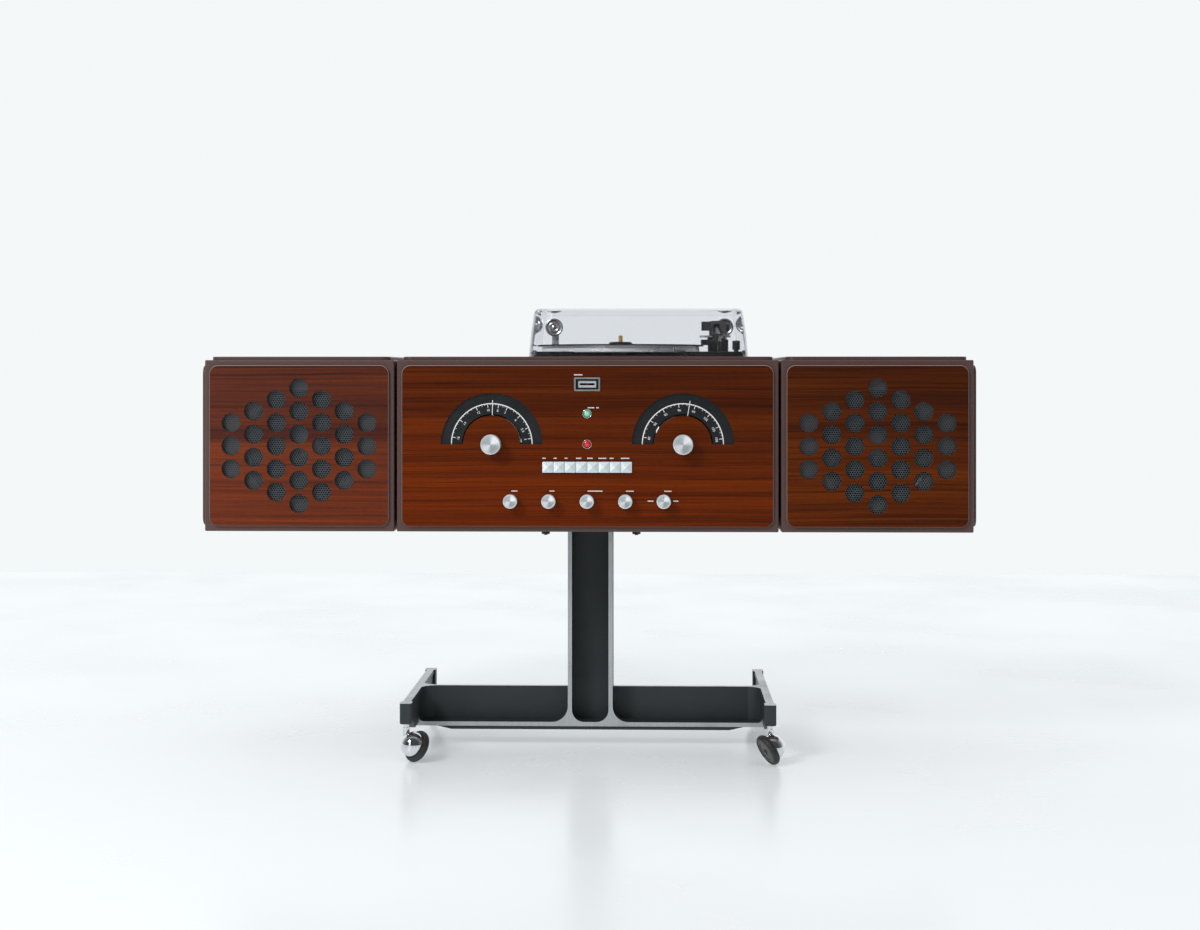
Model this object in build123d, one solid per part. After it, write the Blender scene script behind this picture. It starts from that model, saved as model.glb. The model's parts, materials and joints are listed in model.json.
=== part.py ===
from build123d import *
import math
import os

# Radio phonograph console: a tuner and amplifier cabinet with a record deck under a clear cover,
# two hang-on loudspeaker boxes and a cast pedestal stand on four ball casters.
# Millimetres. X runs to the right of someone facing the front, Y to the back, Z up.
# The origin is on the floor, under the middle of the whole object.

# ---- driving dimensions: cabinets ----
CONSOLE_W = 600.0
SPEAKER_W = 300.0
BOX_H = 270.0
BOX_D = 354.0
BOX_FLOOR = 366.0            # underside of the three boxes above the floor
BOX_GAP = 4.0                # between the console and each hanging speaker
WALL = 16.0
EDGE = 2.0                   # rounding of the box edges
TILE = 5.5                   # thickness of the raised panels
TILE_INSET = 8.0             # raised panels stop this far from the box edges
TILE_CORNER = 14.0
TILE_EDGE = 1.8

# ---- driving dimensions: depth layout ----
KNOB_REACH = 24.0            # tuning knobs stand this far out of the raised front panel
FOOT_FRONT = 15.0            # the feet start this far behind the cabinet front
FOOT_LENGTH = 356.0
CASTER_OVERHANG = 2.8        # the back casters reach this far behind the feet
REAR_REACH = FOOT_FRONT + FOOT_LENGTH + CASTER_OVERHANG
FRONT = (TILE + KNOB_REACH - REAR_REACH) / 2      # Y of the cabinet front plane
FACE = FRONT - TILE                               # Y of the raised front panels
BACK = FRONT + BOX_D
BOX_TOP = BOX_FLOOR + BOX_H
TOP = BOX_TOP + TILE                              # top of the raised top panels
BOX_MID_Z = BOX_FLOOR + BOX_H / 2

# ---- driving dimensions: stand ----
STAND_MID = FRONT + FOOT_FRONT + FOOT_LENGTH / 2  # Y of the web of the casting
COLUMN_W = 74.0
COLUMN_D = 90.0
COLUMN_RIM = 6.8
WEB = 8.0
FLANGE_BOTTOM = 32.5
FLANGE_T = 7.0
BEAM_TOP = 92.2
FOOT_OUT = 297.7             # outer face of the caster bosses from the middle
BOSS_W = 18.5
BOSS_BOTTOM = 59.2
FOOT_MID = FOOT_OUT - BOSS_W / 2
FOOT_W = 12.6                # bright strip along the top of each foot
FOOT_RIB = 9.0
TABLE_T = 8.0                # plate on top of the column, under the cabinet
THUMB_X = 76.0

# ---- driving dimensions: casters ----
CASTER_INSET = 11.0          # stem axis from the end of the foot
STEM_R = 4.6
NECK_R = 5.6
TRAIL = 14.0                 # ball centre behind the swivel axis
BALL_SHIFT = 4.0             # ball centre beside the swivel axis, on the wheel's side
BALL_R = 20.0
HOOD_T = 1.8
WHEEL_R = 25.5
WHEEL_TILT = 27.0            # the wheel axis dips this much below level
AXLE_R = 3.0

# ---- driving dimensions: front controls ----
DIAL_X = 150.0
DIAL_Z = 504.0
DIAL_OUT = 80.0
DIAL_IN = 45.0
POINTER_REACH = 69.0
POINTER_REST = (1.2, 9.5)    # degrees clockwise from upright, left and right
TUNING_KNOB_R = 15.5
KNOB_R = 11.0
KNOB_DEPTH = 18.0
KNOB_Z = 415.0
KNOB_PITCH = 60.0
SHAFT_R = 3.0
BUTTON_COUNT = 8
BUTTON_PITCH = 17.6
BUTTON_SIZE = 17.1
BUTTON_Z = 468.0
LAMP_R = 6.2
GREEN_LAMP_Z = 552.0
RED_LAMP_Z = 504.0
METER_Z = 598.0
METER_W = 41.0
METER_H = 21.6

# ---- driving dimensions: record deck ----
COVER_X = 80.0
COVER_BACK_GAP = 17.0        # cover stops this far before the cabinet back
COVER_W = (350.0, 343.0, 332.0)
COVER_D = (298.0, 291.0, 280.0)
COVER_LEVELS = (0.3, 39.0, 77.0)
COVER_T = 3.2
COVER_CORNER = 10.0           # corners of its outline
COVER_CROWN = 8.5             # rounding along its top edge
DECK_W = 336.0
DECK_D = 284.0
DECK_T = 3.0
SPINDLE_X = 49.5
SPINDLE_Y = FRONT + 188.0
SPINDLE_R = 3.58
SPINDLE_TOP = 679.0
SPINDLE_NECK = 667.0         # a shallow neck parts the free end from the stretch in the adapter
RIM_R = 131.5
RIM_IN = 124.3
RIM_BOTTOM = 649.0
RIM_TOP = 660.0
MAT_R = 138.5
MAT_T = 2.0
PULLEY_R = 8.0
PULLEY_GAP = 0.3
ARM_X = 211.0
ARM_Y = FRONT + 240.0
ARM_PIVOT_Z = 692.0
HINGE_X = (-67.0, 227.0)
HINGE_Y = FRONT + 341.0
HINGE_Z = 649.0

# ---- driving dimensions: loudspeakers ----
SPEAKER_X = CONSOLE_W / 2 + BOX_GAP + SPEAKER_W / 2
HOLE_R = 15.0
HOLE_COLUMNS = (3, 4, 5, 6, 5, 4, 3)
HOLE_PITCH_X = 35.8
HOLE_PITCH_Z = 36.4
STUD_Z = 560.0
STUD_Y = (FRONT + 80.0, FRONT + 274.0)

# ---- fits ----
RUNNING = 0.05               # radial clearance of a shaft in its hole
FREE = 0.3                   # clearance between parts that move past each other


def block(x0, x1, y0, y1, z0, z1):
    """A box between two opposite corners."""
    middle = Pos((x0 + x1) / 2, (y0 + y1) / 2, (z0 + z1) / 2)
    return middle * Box(x1 - x0, y1 - y0, z1 - z0)


def upright(x, y, z0, z1, radius):
    """A vertical cylinder."""
    return Pos(x, y, (z0 + z1) / 2) * Cylinder(radius, z1 - z0)


def level(x, z, y0, y1, radius):
    """A cylinder that runs front to back."""
    return Pos(x, (y0 + y1) / 2, z) * Rot(90, 0, 0) * Cylinder(radius, y1 - y0)


def facing(outline, y_back, depth, x=0.0, z=0.0):
    """An outline drawn as seen from the front, given depth towards the front from y_back."""
    return Pos(x, y_back, z) * Rot(90, 0, 0) * extrude(outline, depth)


def turned(profile, x, z, y_back):
    """A round part about a front-to-back axis. Profile points are radius and distance forward."""
    outline = make_face(Polyline(*profile, close=True))
    solid = revolve(Plane.XZ * outline, Axis.Z)
    return Pos(x, y_back, z) * Rot(90, 0, 0) * solid


def soften(solid, axis, side, radius):
    """Round the outline of the outermost face along an axis: side 0 is the low end, -1 the high."""
    return fillet(solid.faces().sort_by(axis)[side].edges(), radius)


def dome(radius, base, height):
    """An arc from the edge of a shaft end to its middle, level at the middle."""
    sphere = (radius ** 2 + height ** 2) / (2 * height)
    half_angle = math.asin(radius / sphere) / 2
    centre = base + height - sphere
    middle = (sphere * math.sin(half_angle), centre + sphere * math.cos(half_angle))
    return ThreePointArc((radius, base), middle, (0, base + height))


def place(x, y, z, turn):
    """A spot for a part that is made about its own vertical axis, turned about it in degrees."""
    return Pos(x, y, z) * Rot(0, 0, turn)


# ---------------------------------------------------------------- stand


def column_outline():
    """The column seen from the front, down to the bottom of the flange."""
    height = BOX_FLOOR - FLANGE_BOTTOM
    return Pos(0, FLANGE_BOTTOM + height / 2) * Rectangle(COLUMN_W, height)


def column_pocket():
    """The recess in the front of the column: round bottom corners, open towards the table plate."""
    inner = COLUMN_W - 2 * COLUMN_RIM
    bottom = FLANGE_BOTTOM + FLANGE_T
    height = BOX_FLOOR - TABLE_T - bottom
    outline = Pos(0, bottom + height / 2) * Rectangle(inner, height)
    low = outline.vertices().sort_by(Axis.Y)[:2]
    return fillet(low, 20.0)


def beam_pocket(side):
    """The recess above the flange between the column and one foot."""
    inner = COLUMN_W / 2
    outer = FOOT_MID - FOOT_RIB / 2
    bottom = FLANGE_BOTTOM + FLANGE_T
    height = 2 * (BEAM_TOP - bottom)
    outline = Pos((inner + outer) / 2, bottom + height / 2) * Rectangle(outer - inner, height)
    low = outline.vertices().sort_by(Axis.Y)[:2].sort_by(Axis.X)
    outline = fillet(low[0], 26.0)
    low = outline.vertices().sort_by(Axis.Y)[:2].sort_by(Axis.X)
    outline = fillet(low[1], 8.0)
    return outline if side > 0 else mirror(outline, Plane.YZ)


def foot(side):
    """One foot: a rib that deepens towards the middle, a wide top strip and two caster bosses."""
    half = FOOT_LENGTH / 2
    shallow = BOSS_BOTTOM + 6.5
    deep = FLANGE_BOTTOM + 5.5
    front = (-half + 20.0, shallow)
    back = (half - 20.0, shallow)
    dip_front = (-COLUMN_D, deep)
    dip_back = (COLUMN_D, deep)
    underside = [
        ThreePointArc(front, (-half + 48.0, shallow - 9.0), dip_front),
        Line(dip_front, dip_back),
        ThreePointArc(dip_back, (half - 48.0, shallow - 9.0), back),
    ]
    top = Polyline(back, (half - 20.0, BEAM_TOP), (-half + 20.0, BEAM_TOP), front)
    profile = make_face(underside + [top])
    x = side * FOOT_MID
    rib = Pos(x - FOOT_RIB / 2, STAND_MID, 0) * (Rot(0, 0, 90) * Rot(90, 0, 0) * extrude(profile, FOOT_RIB))
    strip = block(x - FOOT_W / 2, x + FOOT_W / 2, STAND_MID - half + 2, STAND_MID + half - 2,
                  BEAM_TOP - 7, BEAM_TOP)
    result = rib + strip
    for end in (-1, 1):
        y = STAND_MID + end * (half - CASTER_INSET)
        boss = block(x - BOSS_W / 2, x + BOSS_W / 2, y - CASTER_INSET, y + CASTER_INSET,
                     BOSS_BOTTOM, BEAM_TOP)
        boss = fillet(boss.edges().filter_by(Axis.Z), 3.0)
        boss = chamfer(boss.faces().sort_by(Axis.Z)[0].edges(), 1.6)
        result += boss
    return result


def web_gusset(side, end):
    """The plan fillet where the web of the crossbeam runs into a foot."""
    radius = 28.0
    corner_x = FOOT_MID - FOOT_RIB / 2 + 0.5
    corner_y = WEB / 2 - 0.5
    square = Pos(corner_x - radius / 2, corner_y + radius / 2) * Rectangle(radius, radius)
    round_part = Pos(corner_x - radius, corner_y + radius) * Circle(radius)
    outline = square - round_part
    height = BEAM_TOP - FLANGE_BOTTOM - 1.0
    solid = Pos(0, 0, FLANGE_BOTTOM + 1.0) * extrude(outline, height)
    if side < 0:
        solid = mirror(solid, Plane.YZ)
    if end < 0:
        solid = mirror(solid, Plane.XZ)
    return Pos(0, STAND_MID, 0) * solid


def stand_casting():
    """Column, crossbeam, feet and table plate, cast in one piece."""
    beam_height = BEAM_TOP - FLANGE_BOTTOM
    beam = Pos(0, FLANGE_BOTTOM + beam_height / 2) * Rectangle(2 * FOOT_MID, beam_height)
    half = COLUMN_D / 2
    body = facing(column_outline(), STAND_MID + half, COLUMN_D)
    body += facing(beam, STAND_MID + half, COLUMN_D)
    pocket_depth = half - WEB / 2
    for pocket in (column_pocket(), beam_pocket(-1), beam_pocket(1)):
        body -= facing(pocket, STAND_MID - WEB / 2, pocket_depth + 1)
        body -= facing(pocket, STAND_MID + half + 1, pocket_depth + 1)
    keel_drop = 6.0
    keel = make_face(Polyline((-256, 0), (-230, -keel_drop), (230, -keel_drop), (256, 0), close=True))
    body += facing(Pos(0, FLANGE_BOTTOM + 0.2) * keel, STAND_MID + half - 2.5, COLUMN_D - 5)
    for side in (-1, 1):
        body += foot(side)
        for end in (-1, 1):
            body += web_gusset(side, end)
    table = block(-120, 120, STAND_MID - 70, STAND_MID + 70, BOX_FLOOR - TABLE_T, BOX_FLOOR)
    body += fillet(table.edges().filter_by(Axis.Z), 12.0)
    for side in (-1, 1):
        body -= upright(side * THUMB_X, STAND_MID, BOX_FLOOR - TABLE_T - 1, BOX_FLOOR + 1, SHAFT_R + FREE)
        for end in (-1, 1):
            y = STAND_MID + end * (FOOT_LENGTH / 2 - CASTER_INSET)
            body -= upright(side * FOOT_MID, y, BOSS_BOTTOM - 1, BEAM_TOP - 5, STEM_R + RUNNING)
    return body


# ---------------------------------------------------------------- casters


def wheel_axis_place(hand, height):
    """The ball centre of a caster, with local Z along the wheel axis, out of the wheel's face.
    Hand is +1 where the wheel is on the +X side of the ball."""
    return Pos(hand * BALL_SHIFT, -TRAIL, height) * Rot(0, hand * (90 + WHEEL_TILT), 0)


def wheel_solid():
    """A dished disc with a rubber-like crown, about local Z, inner side towards the hood."""
    outline = make_face([
        Line((AXLE_R + RUNNING, 6.5), (19.6, 6.5)),
        Line((19.6, 6.5), (20.4, 3.4)),
        Line((20.4, 3.4), (23.6, 3.4)),
        ThreePointArc((23.6, 3.4), (WHEEL_R, 8.2), (23.2, 13.4)),
        Line((23.2, 13.4), (20.6, 13.9)),
        Line((20.6, 13.9), (20.1, 12.9)),
        Line((20.1, 12.9), (15.4, 13.5)),
        Line((15.4, 13.5), (14.9, 12.7)),
        Line((14.9, 12.7), (6.0, 13.3)),
        Line((6.0, 13.3), (5.4, 12.2)),
        Line((5.4, 12.2), (AXLE_R + RUNNING, 12.2)),
        Line((AXLE_R + RUNNING, 12.2), (AXLE_R + RUNNING, 6.5)),
    ])
    return revolve(Plane.XZ * outline, Axis.Z)


def hood_solid(hand, height):
    """The chrome hood: a hollow ball with an open side towards the wheel, axle, neck and stem."""
    cut = 5.0
    ball = Sphere(BALL_R) - Sphere(BALL_R - HOOD_T)
    ball -= Pos(0, 0, cut + BALL_R) * Box(4 * BALL_R, 4 * BALL_R, 2 * BALL_R)
    axle_in = 0.6 - BALL_R
    axle_out = 10.6
    axle = Pos(0, 0, (axle_in + axle_out) / 2) * Cylinder(AXLE_R, axle_out - axle_in)
    pivot = wheel_axis_place(hand, height)
    ring_z = BOSS_BOTTOM - 7.0
    neck = upright(0, 0, height + 2.5, ring_z, NECK_R) + upright(0, 0, ring_z, ring_z + 1.6, NECK_R + 0.8)
    neck += upright(0, 0, ring_z, BOSS_BOTTOM - FREE, NECK_R - 0.5)
    stem = upright(0, 0, ring_z, BOSS_BOTTOM + 18, STEM_R)
    hollow = pivot * Sphere(BALL_R - HOOD_T)
    return pivot * (ball + axle) + (neck + stem - hollow)


def caster_height():
    """Ball centre height that puts the lowest point of the tilted wheel on the floor."""
    tilted = wheel_axis_place(1, 0.0) * wheel_solid()
    return -tilted.bounding_box().min.Z


CASTERS = {
    "front_left": (-1, -1, 1, 39.7),
    "front_right": (1, -1, -1, 25.0),
    "back_left": (-1, 1, 1, 12.0),
    "back_right": (1, 1, -1, 30.0),
}


# ---------------------------------------------------------------- cabinets


def flat_tile(width, depth):
    """A raised panel lying on top of a box, about its own middle, rounded at its upper outline."""
    tile = extrude(RectangleRounded(width, depth, TILE_CORNER), TILE)
    return soften(tile, Axis.Z, -1, TILE_EDGE)


def front_tile(width, x):
    """A raised panel on the front of a box."""
    outline = RectangleRounded(width, BOX_H - 2 * TILE_INSET, TILE_CORNER)
    return soften(facing(outline, FRONT, TILE, x, BOX_MID_Z), Axis.Y, 0, TILE_EDGE)


def box_shell(width, x):
    """The outside of a box with all its edges rounded, and the raised panel on its top."""
    body = block(x - width / 2, x + width / 2, FRONT, BACK, BOX_FLOOR, BOX_TOP)
    body = fillet(body.edges(), EDGE)
    tile = flat_tile(width - 2 * TILE_INSET, BOX_D - 2 * TILE_INSET)
    return body + Pos(x, (FRONT + BACK) / 2, BOX_TOP) * tile


FRAME = 22.0                 # border around the opening in the front of a box
BACK_PANEL_T = 4.0
BACK_INSET = 3.0


def deck_centre_y():
    """Middle of the deck and its cover, front to back."""
    return BACK - COVER_BACK_GAP - COVER_D[0] / 2


def console_cabinet():
    """The console case: open at the back, with a front opening and a deck opening in the top."""
    half = CONSOLE_W / 2
    case = box_shell(CONSOLE_W, 0.0)
    case -= block(-half + WALL, half - WALL, FRONT + WALL, BACK + 1, BOX_FLOOR + WALL, BOX_TOP - WALL)
    case -= block(-half + FRAME, half - FRAME, FRONT - 1, FRONT + WALL + 1,
                  BOX_FLOOR + FRAME, BOX_TOP - FRAME)
    hole_x = DECK_W / 2 - 8
    hole_y = DECK_D / 2 - 8
    middle = deck_centre_y()
    case -= block(COVER_X - hole_x, COVER_X + hole_x, middle - hole_y, middle + hole_y,
                  BOX_TOP - WALL - 1, TOP + 1)
    batten = 14.0
    batten_y = BACK - BACK_INSET - BACK_PANEL_T
    for side in (-1, 1):
        x = side * (half - WALL - batten / 2)
        case += block(x - batten / 2, x + batten / 2, batten_y - batten, batten_y,
                      BOX_FLOOR + WALL, BOX_TOP - WALL)
        case -= upright(side * THUMB_X, STAND_MID, BOX_FLOOR - 1, BOX_FLOOR + WALL + 1, SHAFT_R + FREE)
        for y in STUD_Y:
            case -= stud_hole(side, y)
    return case


def stud_hole(side, y):
    """Blind hole in the console side for a hanging stud."""
    x = side * (CONSOLE_W / 2 - 5.0)
    return Pos(x, y, STUD_Z) * Rot(0, 90, 0) * Cylinder(SHAFT_R, 12.0)


def dial_opening(radius_in, radius_out, lift):
    """The upper half of a ring, its flat ends raised by lift."""
    ring = Circle(radius_out) - Circle(radius_in)
    keep = Pos(0, lift + radius_out) * Rectangle(4 * radius_out, 2 * radius_out)
    return ring & keep


BOARD = 10.0                 # the front panel's backing board


def console_front_panel():
    """The veneered front: a raised plate on a backing board, with openings for every control."""
    half_w = CONSOLE_W / 2 - FRAME - 1.0
    half_h = BOX_H / 2 - FRAME - 1.0
    panel = front_tile(CONSOLE_W - 2 * TILE_INSET, 0.0)
    panel += block(-half_w, half_w, FRONT, FRONT + BOARD, BOX_MID_Z - half_h, BOX_MID_Z + half_h)
    through = TILE + BOARD + 2
    back = FRONT + BOARD + 1
    for side in (-1, 1):
        face_cut = dial_opening(DIAL_IN, DIAL_OUT, 0.0)
        board_cut = dial_opening(DIAL_IN, DIAL_OUT - 3.0, 2.5)
        panel -= facing(face_cut, FRONT, TILE + 1, side * DIAL_X, DIAL_Z)
        panel -= facing(board_cut, back, through, side * DIAL_X, DIAL_Z)
        panel -= level(side * DIAL_X, DIAL_Z, FACE - 1, back, SHAFT_R + RUNNING)
    for x in knob_places():
        panel -= level(x, KNOB_Z, FACE - 1, back, SHAFT_R + RUNNING)
    for z in (GREEN_LAMP_Z, RED_LAMP_Z):
        panel -= level(0, z, FACE - 1, back, LAMP_R + 0.1)
    bank = BUTTON_COUNT * BUTTON_PITCH
    panel -= facing(RectangleRounded(bank + 1.2, BUTTON_PITCH + 2.0, 1.0), back, through, 0, BUTTON_Z)
    panel -= facing(Rectangle(METER_W - 3.0, METER_H - 3.0), back, through, 0, METER_Z)
    return panel


def knob_places():
    """X of the five small knobs."""
    return [KNOB_PITCH * (index - 2) for index in range(5)]


SOCKET_Z = BOX_FLOOR + 48.0
SPLIT_Z = SOCKET_Z + 27.0    # the slotted panel ends and the socket panel starts at this height
SOCKET_X = (-150.0, -110.0, -70.0, -30.0, 10.0)
INLET_X = 150.0


def back_screws():
    """X and Z of the screws along both ends of the two back panels."""
    x = CONSOLE_W / 2 - WALL - 7.0
    heights = (BOX_FLOOR + WALL + 7.0, SPLIT_Z - 7.0, SPLIT_Z + 7.0, BOX_TOP - WALL - 7.0)
    return [(side * x, z) for side in (-1, 1) for z in heights]


def back_sheet(z0, z1):
    """A sheet across the open back of the console between two heights, with its screw holes."""
    half_w = CONSOLE_W / 2 - WALL - 1.0
    y1 = BACK - BACK_INSET
    sheet = block(-half_w, half_w, y1 - BACK_PANEL_T, y1, z0, z1)
    for x, z in back_screws():
        if z0 < z < z1:
            sheet -= level(x, z, y1 - BACK_PANEL_T - 1, y1 + 1, 1.8)
    return sheet


def console_back_panel():
    """The slotted upper back panel."""
    y1 = BACK - BACK_INSET
    panel = back_sheet(SPLIT_Z + 0.5, BOX_TOP - WALL - 1.0)
    slot = SlotOverall(46.0, 5.0, rotation=90)
    for column in range(19):
        for z in (BOX_MID_Z + 4, BOX_MID_Z + 62):
            panel -= facing(slot, y1 + 1, BACK_PANEL_T + 2, (column - 9) * 14.0, z)
    return panel


def rear_sockets():
    """The lower back panel, which carries five round multi-pin sockets."""
    y1 = BACK - BACK_INSET
    panel = back_sheet(BOX_FLOOR + WALL + 1.0, SPLIT_Z - 0.5)
    for x in SOCKET_X:
        panel += level(x, SOCKET_Z, y1, y1 + 3.5, 9.0) - level(x, SOCKET_Z, y1 + 0.8, y1 + 4, 7.6)
        panel += level(x, SOCKET_Z, y1 - BACK_PANEL_T - 10, y1 - BACK_PANEL_T, 8.5)
        for turn in range(5):
            angle = math.radians(45.0 * turn)
            hole_x = x + 5.0 * math.cos(angle)
            hole_z = SOCKET_Z - 5.0 * math.sin(angle)
            panel -= level(hole_x, hole_z, y1 - 8, y1 + 4, 0.9)
    return panel


def mains_inlet():
    """A two-pin mains inlet that stands on the socket panel, open to the back."""
    y1 = BACK - BACK_INSET
    depth = 14.0
    inlet = facing(RectangleRounded(28, 20, 3), y1 + depth, depth, INLET_X, SOCKET_Z)
    inlet -= facing(RectangleRounded(22, 14, 2), y1 + depth + 1, depth - 1, INLET_X, SOCKET_Z)
    for side in (-1, 1):
        inlet += level(INLET_X + 6 * side, SOCKET_Z, y1 + 1, y1 + depth - 2, 1.4)
    return inlet


def dial_scales():
    """Two half-ring scale plates that sit on the ledge of the backing board."""
    outline = dial_opening(DIAL_IN + 2.0, DIAL_OUT - 0.1, 0.1)
    plates = [facing(outline, FRONT, 2.3, side * DIAL_X, DIAL_Z) for side in (-1, 1)]
    return plates


def dial_pointer(side, rest):
    """A pointer that turns on the tuning shaft behind the panel, with its blade over the scale."""
    back = FRONT + BOARD + FREE
    hub = level(0, 0, back, back + 3, 6.5)
    arm = block(-1.2, 1.2, back, back + 2, 0, DIAL_IN + 1.6)
    finger = block(-0.55, 0.55, FRONT - 3.4, back + 2, DIAL_IN + 0.4, DIAL_IN + 1.6)
    blade = block(-0.55, 0.55, FRONT - 3.4, FRONT - 2.7, DIAL_IN + 0.4, POINTER_REACH)
    pointer = hub + arm + finger + blade - level(0, 0, back - 1, back + 4, SHAFT_R + FREE)
    return Pos(side * DIAL_X, 0, DIAL_Z) * Rot(0, rest, 0) * pointer


def spun_knob(radius, depth, dimple):
    """A spun aluminium knob with a shaft, its axis on the Y axis, clear of the panel face."""
    skirt = 1.0
    profile = [
        (0, 0), (radius - 1.4, 0), (radius - 0.6, 0.6), (radius - 0.6, 3.2), (radius, 4.0),
        (radius, depth - skirt - 1.2), (radius - 1.2, depth - skirt), (radius * 0.86, depth - skirt),
        (radius * 0.80, depth - skirt - 0.7), (radius * 0.30, depth - skirt - 1.1),
        (0, depth - skirt - 1.2),
    ]
    knob = turned(profile, 0, 0, FACE - skirt)
    if dimple:
        knob -= Pos(0, FACE - depth + 1.2, radius * 0.62) * Sphere(1.5)
    return knob + level(0, 0, FACE - skirt - 0.5, FRONT + BOARD + 16.0, SHAFT_R)


def switch_bank():
    """The push-button housing: a nose in the window of the panel and a body behind it."""
    bank = BUTTON_COUNT * BUTTON_PITCH
    nose = facing(RectangleRounded(bank + 0.8, BUTTON_PITCH + 1.6, 0.8), FRONT + BOARD, BOARD - 4.0,
                  0, BUTTON_Z)
    body = block(-bank / 2 - 6, bank / 2 + 6, FRONT + BOARD, FRONT + BOARD + 38, BUTTON_Z - 15, BUTTON_Z + 15)
    housing = nose + body
    for x in button_places():
        housing -= facing(Rectangle(8.6, 8.6), FRONT + BOARD + 39, 50, x, BUTTON_Z)
    return housing


def button_places():
    """X of the push buttons."""
    return [BUTTON_PITCH * (index - (BUTTON_COUNT - 1) / 2) for index in range(BUTTON_COUNT)]


def button(x):
    """A square push button with a four-sided face and a square stem."""
    half = BUTTON_SIZE / 2
    head_back = FRONT - 1.0
    proud = 2.6
    head = block(-half, half, FACE - proud, head_back, -half, half)
    head = fillet(head.edges().filter_by(Axis.Y), 0.6)
    tip = 1.5
    base = Plane((0, FACE - proud, 0), x_dir=(1, 0, 0), z_dir=(0, -1, 0))
    peak = Plane((0, FACE - proud - tip, 0), x_dir=(1, 0, 0), z_dir=(0, -1, 0))
    head += loft([base * Rectangle(BUTTON_SIZE - 0.8, BUTTON_SIZE - 0.8), peak * Rectangle(0.6, 0.6)])
    stem = block(-4, 4, head_back, FRONT + BOARD + 30, -4, 4)
    return Pos(x, 0, BUTTON_Z) * (head + stem)


def tuning_meter():
    """Bezel, case and slotted face plate of the tuning meter."""
    bezel = facing(RectangleRounded(METER_W, METER_H, 1.0), FACE, 1.4, 0, METER_Z)
    bezel = chamfer(bezel.faces().sort_by(Axis.Y)[0].edges(), 0.6)
    case_w = METER_W - 3.2
    case_h = METER_H - 3.2
    case = block(-case_w / 2, case_w / 2, FACE, FRONT + 26, METER_Z - case_h / 2, METER_Z + case_h / 2)
    window = facing(Rectangle(case_w - 3.2, case_h - 4.2), FRONT + 24, 60, 0, METER_Z)
    face = facing(Rectangle(case_w - 3.2, case_h - 4.2), FACE + 3.0, 0.8, 0, METER_Z)
    face -= facing(SlotOverall(24, 3.4), FACE + 4, 3, 0, METER_Z)
    post = upright(0, FRONT + 14, METER_Z - case_h / 2 + 1, METER_Z + case_h / 2 - 1, 1.0)
    return bezel + case - window + face + post


def meter_needle():
    """The needle swings about a vertical post; its flag shows in the slot of the face plate."""
    y = FRONT + 14
    hub = upright(0, y, METER_Z - 2.5, METER_Z + 2.5, 2.2) - upright(0, y, METER_Z - 3, METER_Z + 3, 1.3)
    arm = block(-0.35, 0.35, FACE + 4.2, y - 1.8, METER_Z - 0.5, METER_Z + 0.5)
    flag = block(-0.5, 0.5, FACE + 3.5, FACE + 4.6, METER_Z - 1.4, METER_Z + 1.4)
    return hub + arm + flag


def indicator_lamps():
    """Two round lenses with domed fronts."""
    lenses = []
    for z in (GREEN_LAMP_Z, RED_LAMP_Z):
        outline = make_face([
            Line((0, 0), (LAMP_R, 0)),
            Line((LAMP_R, 0), (LAMP_R, 13.6)),
            dome(LAMP_R, 13.6, 2.6),
            Line((0, 16.2), (0, 0)),
        ])
        lens = revolve(Plane.XZ * outline, Axis.Z)
        lenses.append(Pos(0, FRONT + 9.0, z) * Rot(90, 0, 0) * lens)
    return lenses


def tuner_amplifier():
    """A folded tray with boards, a tuning capacitor, intermediate cans and a heat sink."""
    tray_z = BOX_FLOOR + WALL + 8
    y0 = FRONT + 72
    y1 = FRONT + 262
    tray = block(-250, 250, y0, y1, tray_z, tray_z + 34)
    tray -= block(-248.5, 248.5, y0 + 1.5, y1 - 1.5, tray_z + 1.5, tray_z + 40)
    parts = [tray]
    for side in (-1, 1):
        for y in (y0 + 12, y1 - 12):
            parts.append(upright(side * 236, y, BOX_FLOOR + WALL, tray_z, 5))
    board_z = tray_z + 12
    boards = [(-240, -70, y0 + 8, y1 - 8), (-60, 110, y0 + 8, y1 - 8)]
    for x0, x1, ya, yb in boards:
        parts.append(block(x0, x1, ya, yb, board_z, board_z + 1.6))
        for x in (x0 + 10, x1 - 10):
            parts.append(upright(x, ya + 10, tray_z + 1.5, board_z, 3))
            parts.append(upright(x, yb - 10, tray_z + 1.5, board_z, 3))
        for index in range(5):
            x = x0 + 26 + index * 29
            parts.append(block(x - 6, x + 6, ya + 30, ya + 42, board_z + 1.6, board_z + 19))
            parts.append(upright(x, yb - 40, board_z + 1.6, board_z + 22 + 2 * (index % 3), 7))
    gang = block(-200, -150, y0 + 60, y0 + 110, board_z + 1.6, board_z + 34)
    parts.append(gang)
    sink = block(40, 104, y1 - 32, y1 - 26, board_z + 1.6, board_z + 46)
    for index in range(8):
        x = 42 + index * 8.4
        sink += block(x, x + 1.6, y1 - 26, y1 - 12, board_z + 1.6, board_z + 46)
    parts.append(sink)
    parts.append(power_transformer())
    return parts


def power_transformer():
    """Laminated core with end bells and mounting feet, standing in the tray."""
    floor = BOX_FLOOR + WALL + 9.5
    x, y = 180.0, FRONT + 170
    core = block(x - 42, x + 42, y - 20, y + 20, floor, floor + 70)
    for end in (-1, 1):
        bell = block(x - 30, x + 30, y + end * 32 - 12, y + end * 32 + 12, floor + 10, floor + 60)
        core += fillet(bell.faces().sort_by(Axis.Y)[0 if end < 0 else -1].edges(), 8.0)
    foot_plate = block(x - 54, x + 54, y - 18, y + 18, floor, floor + 2)
    return core + foot_plate


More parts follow.
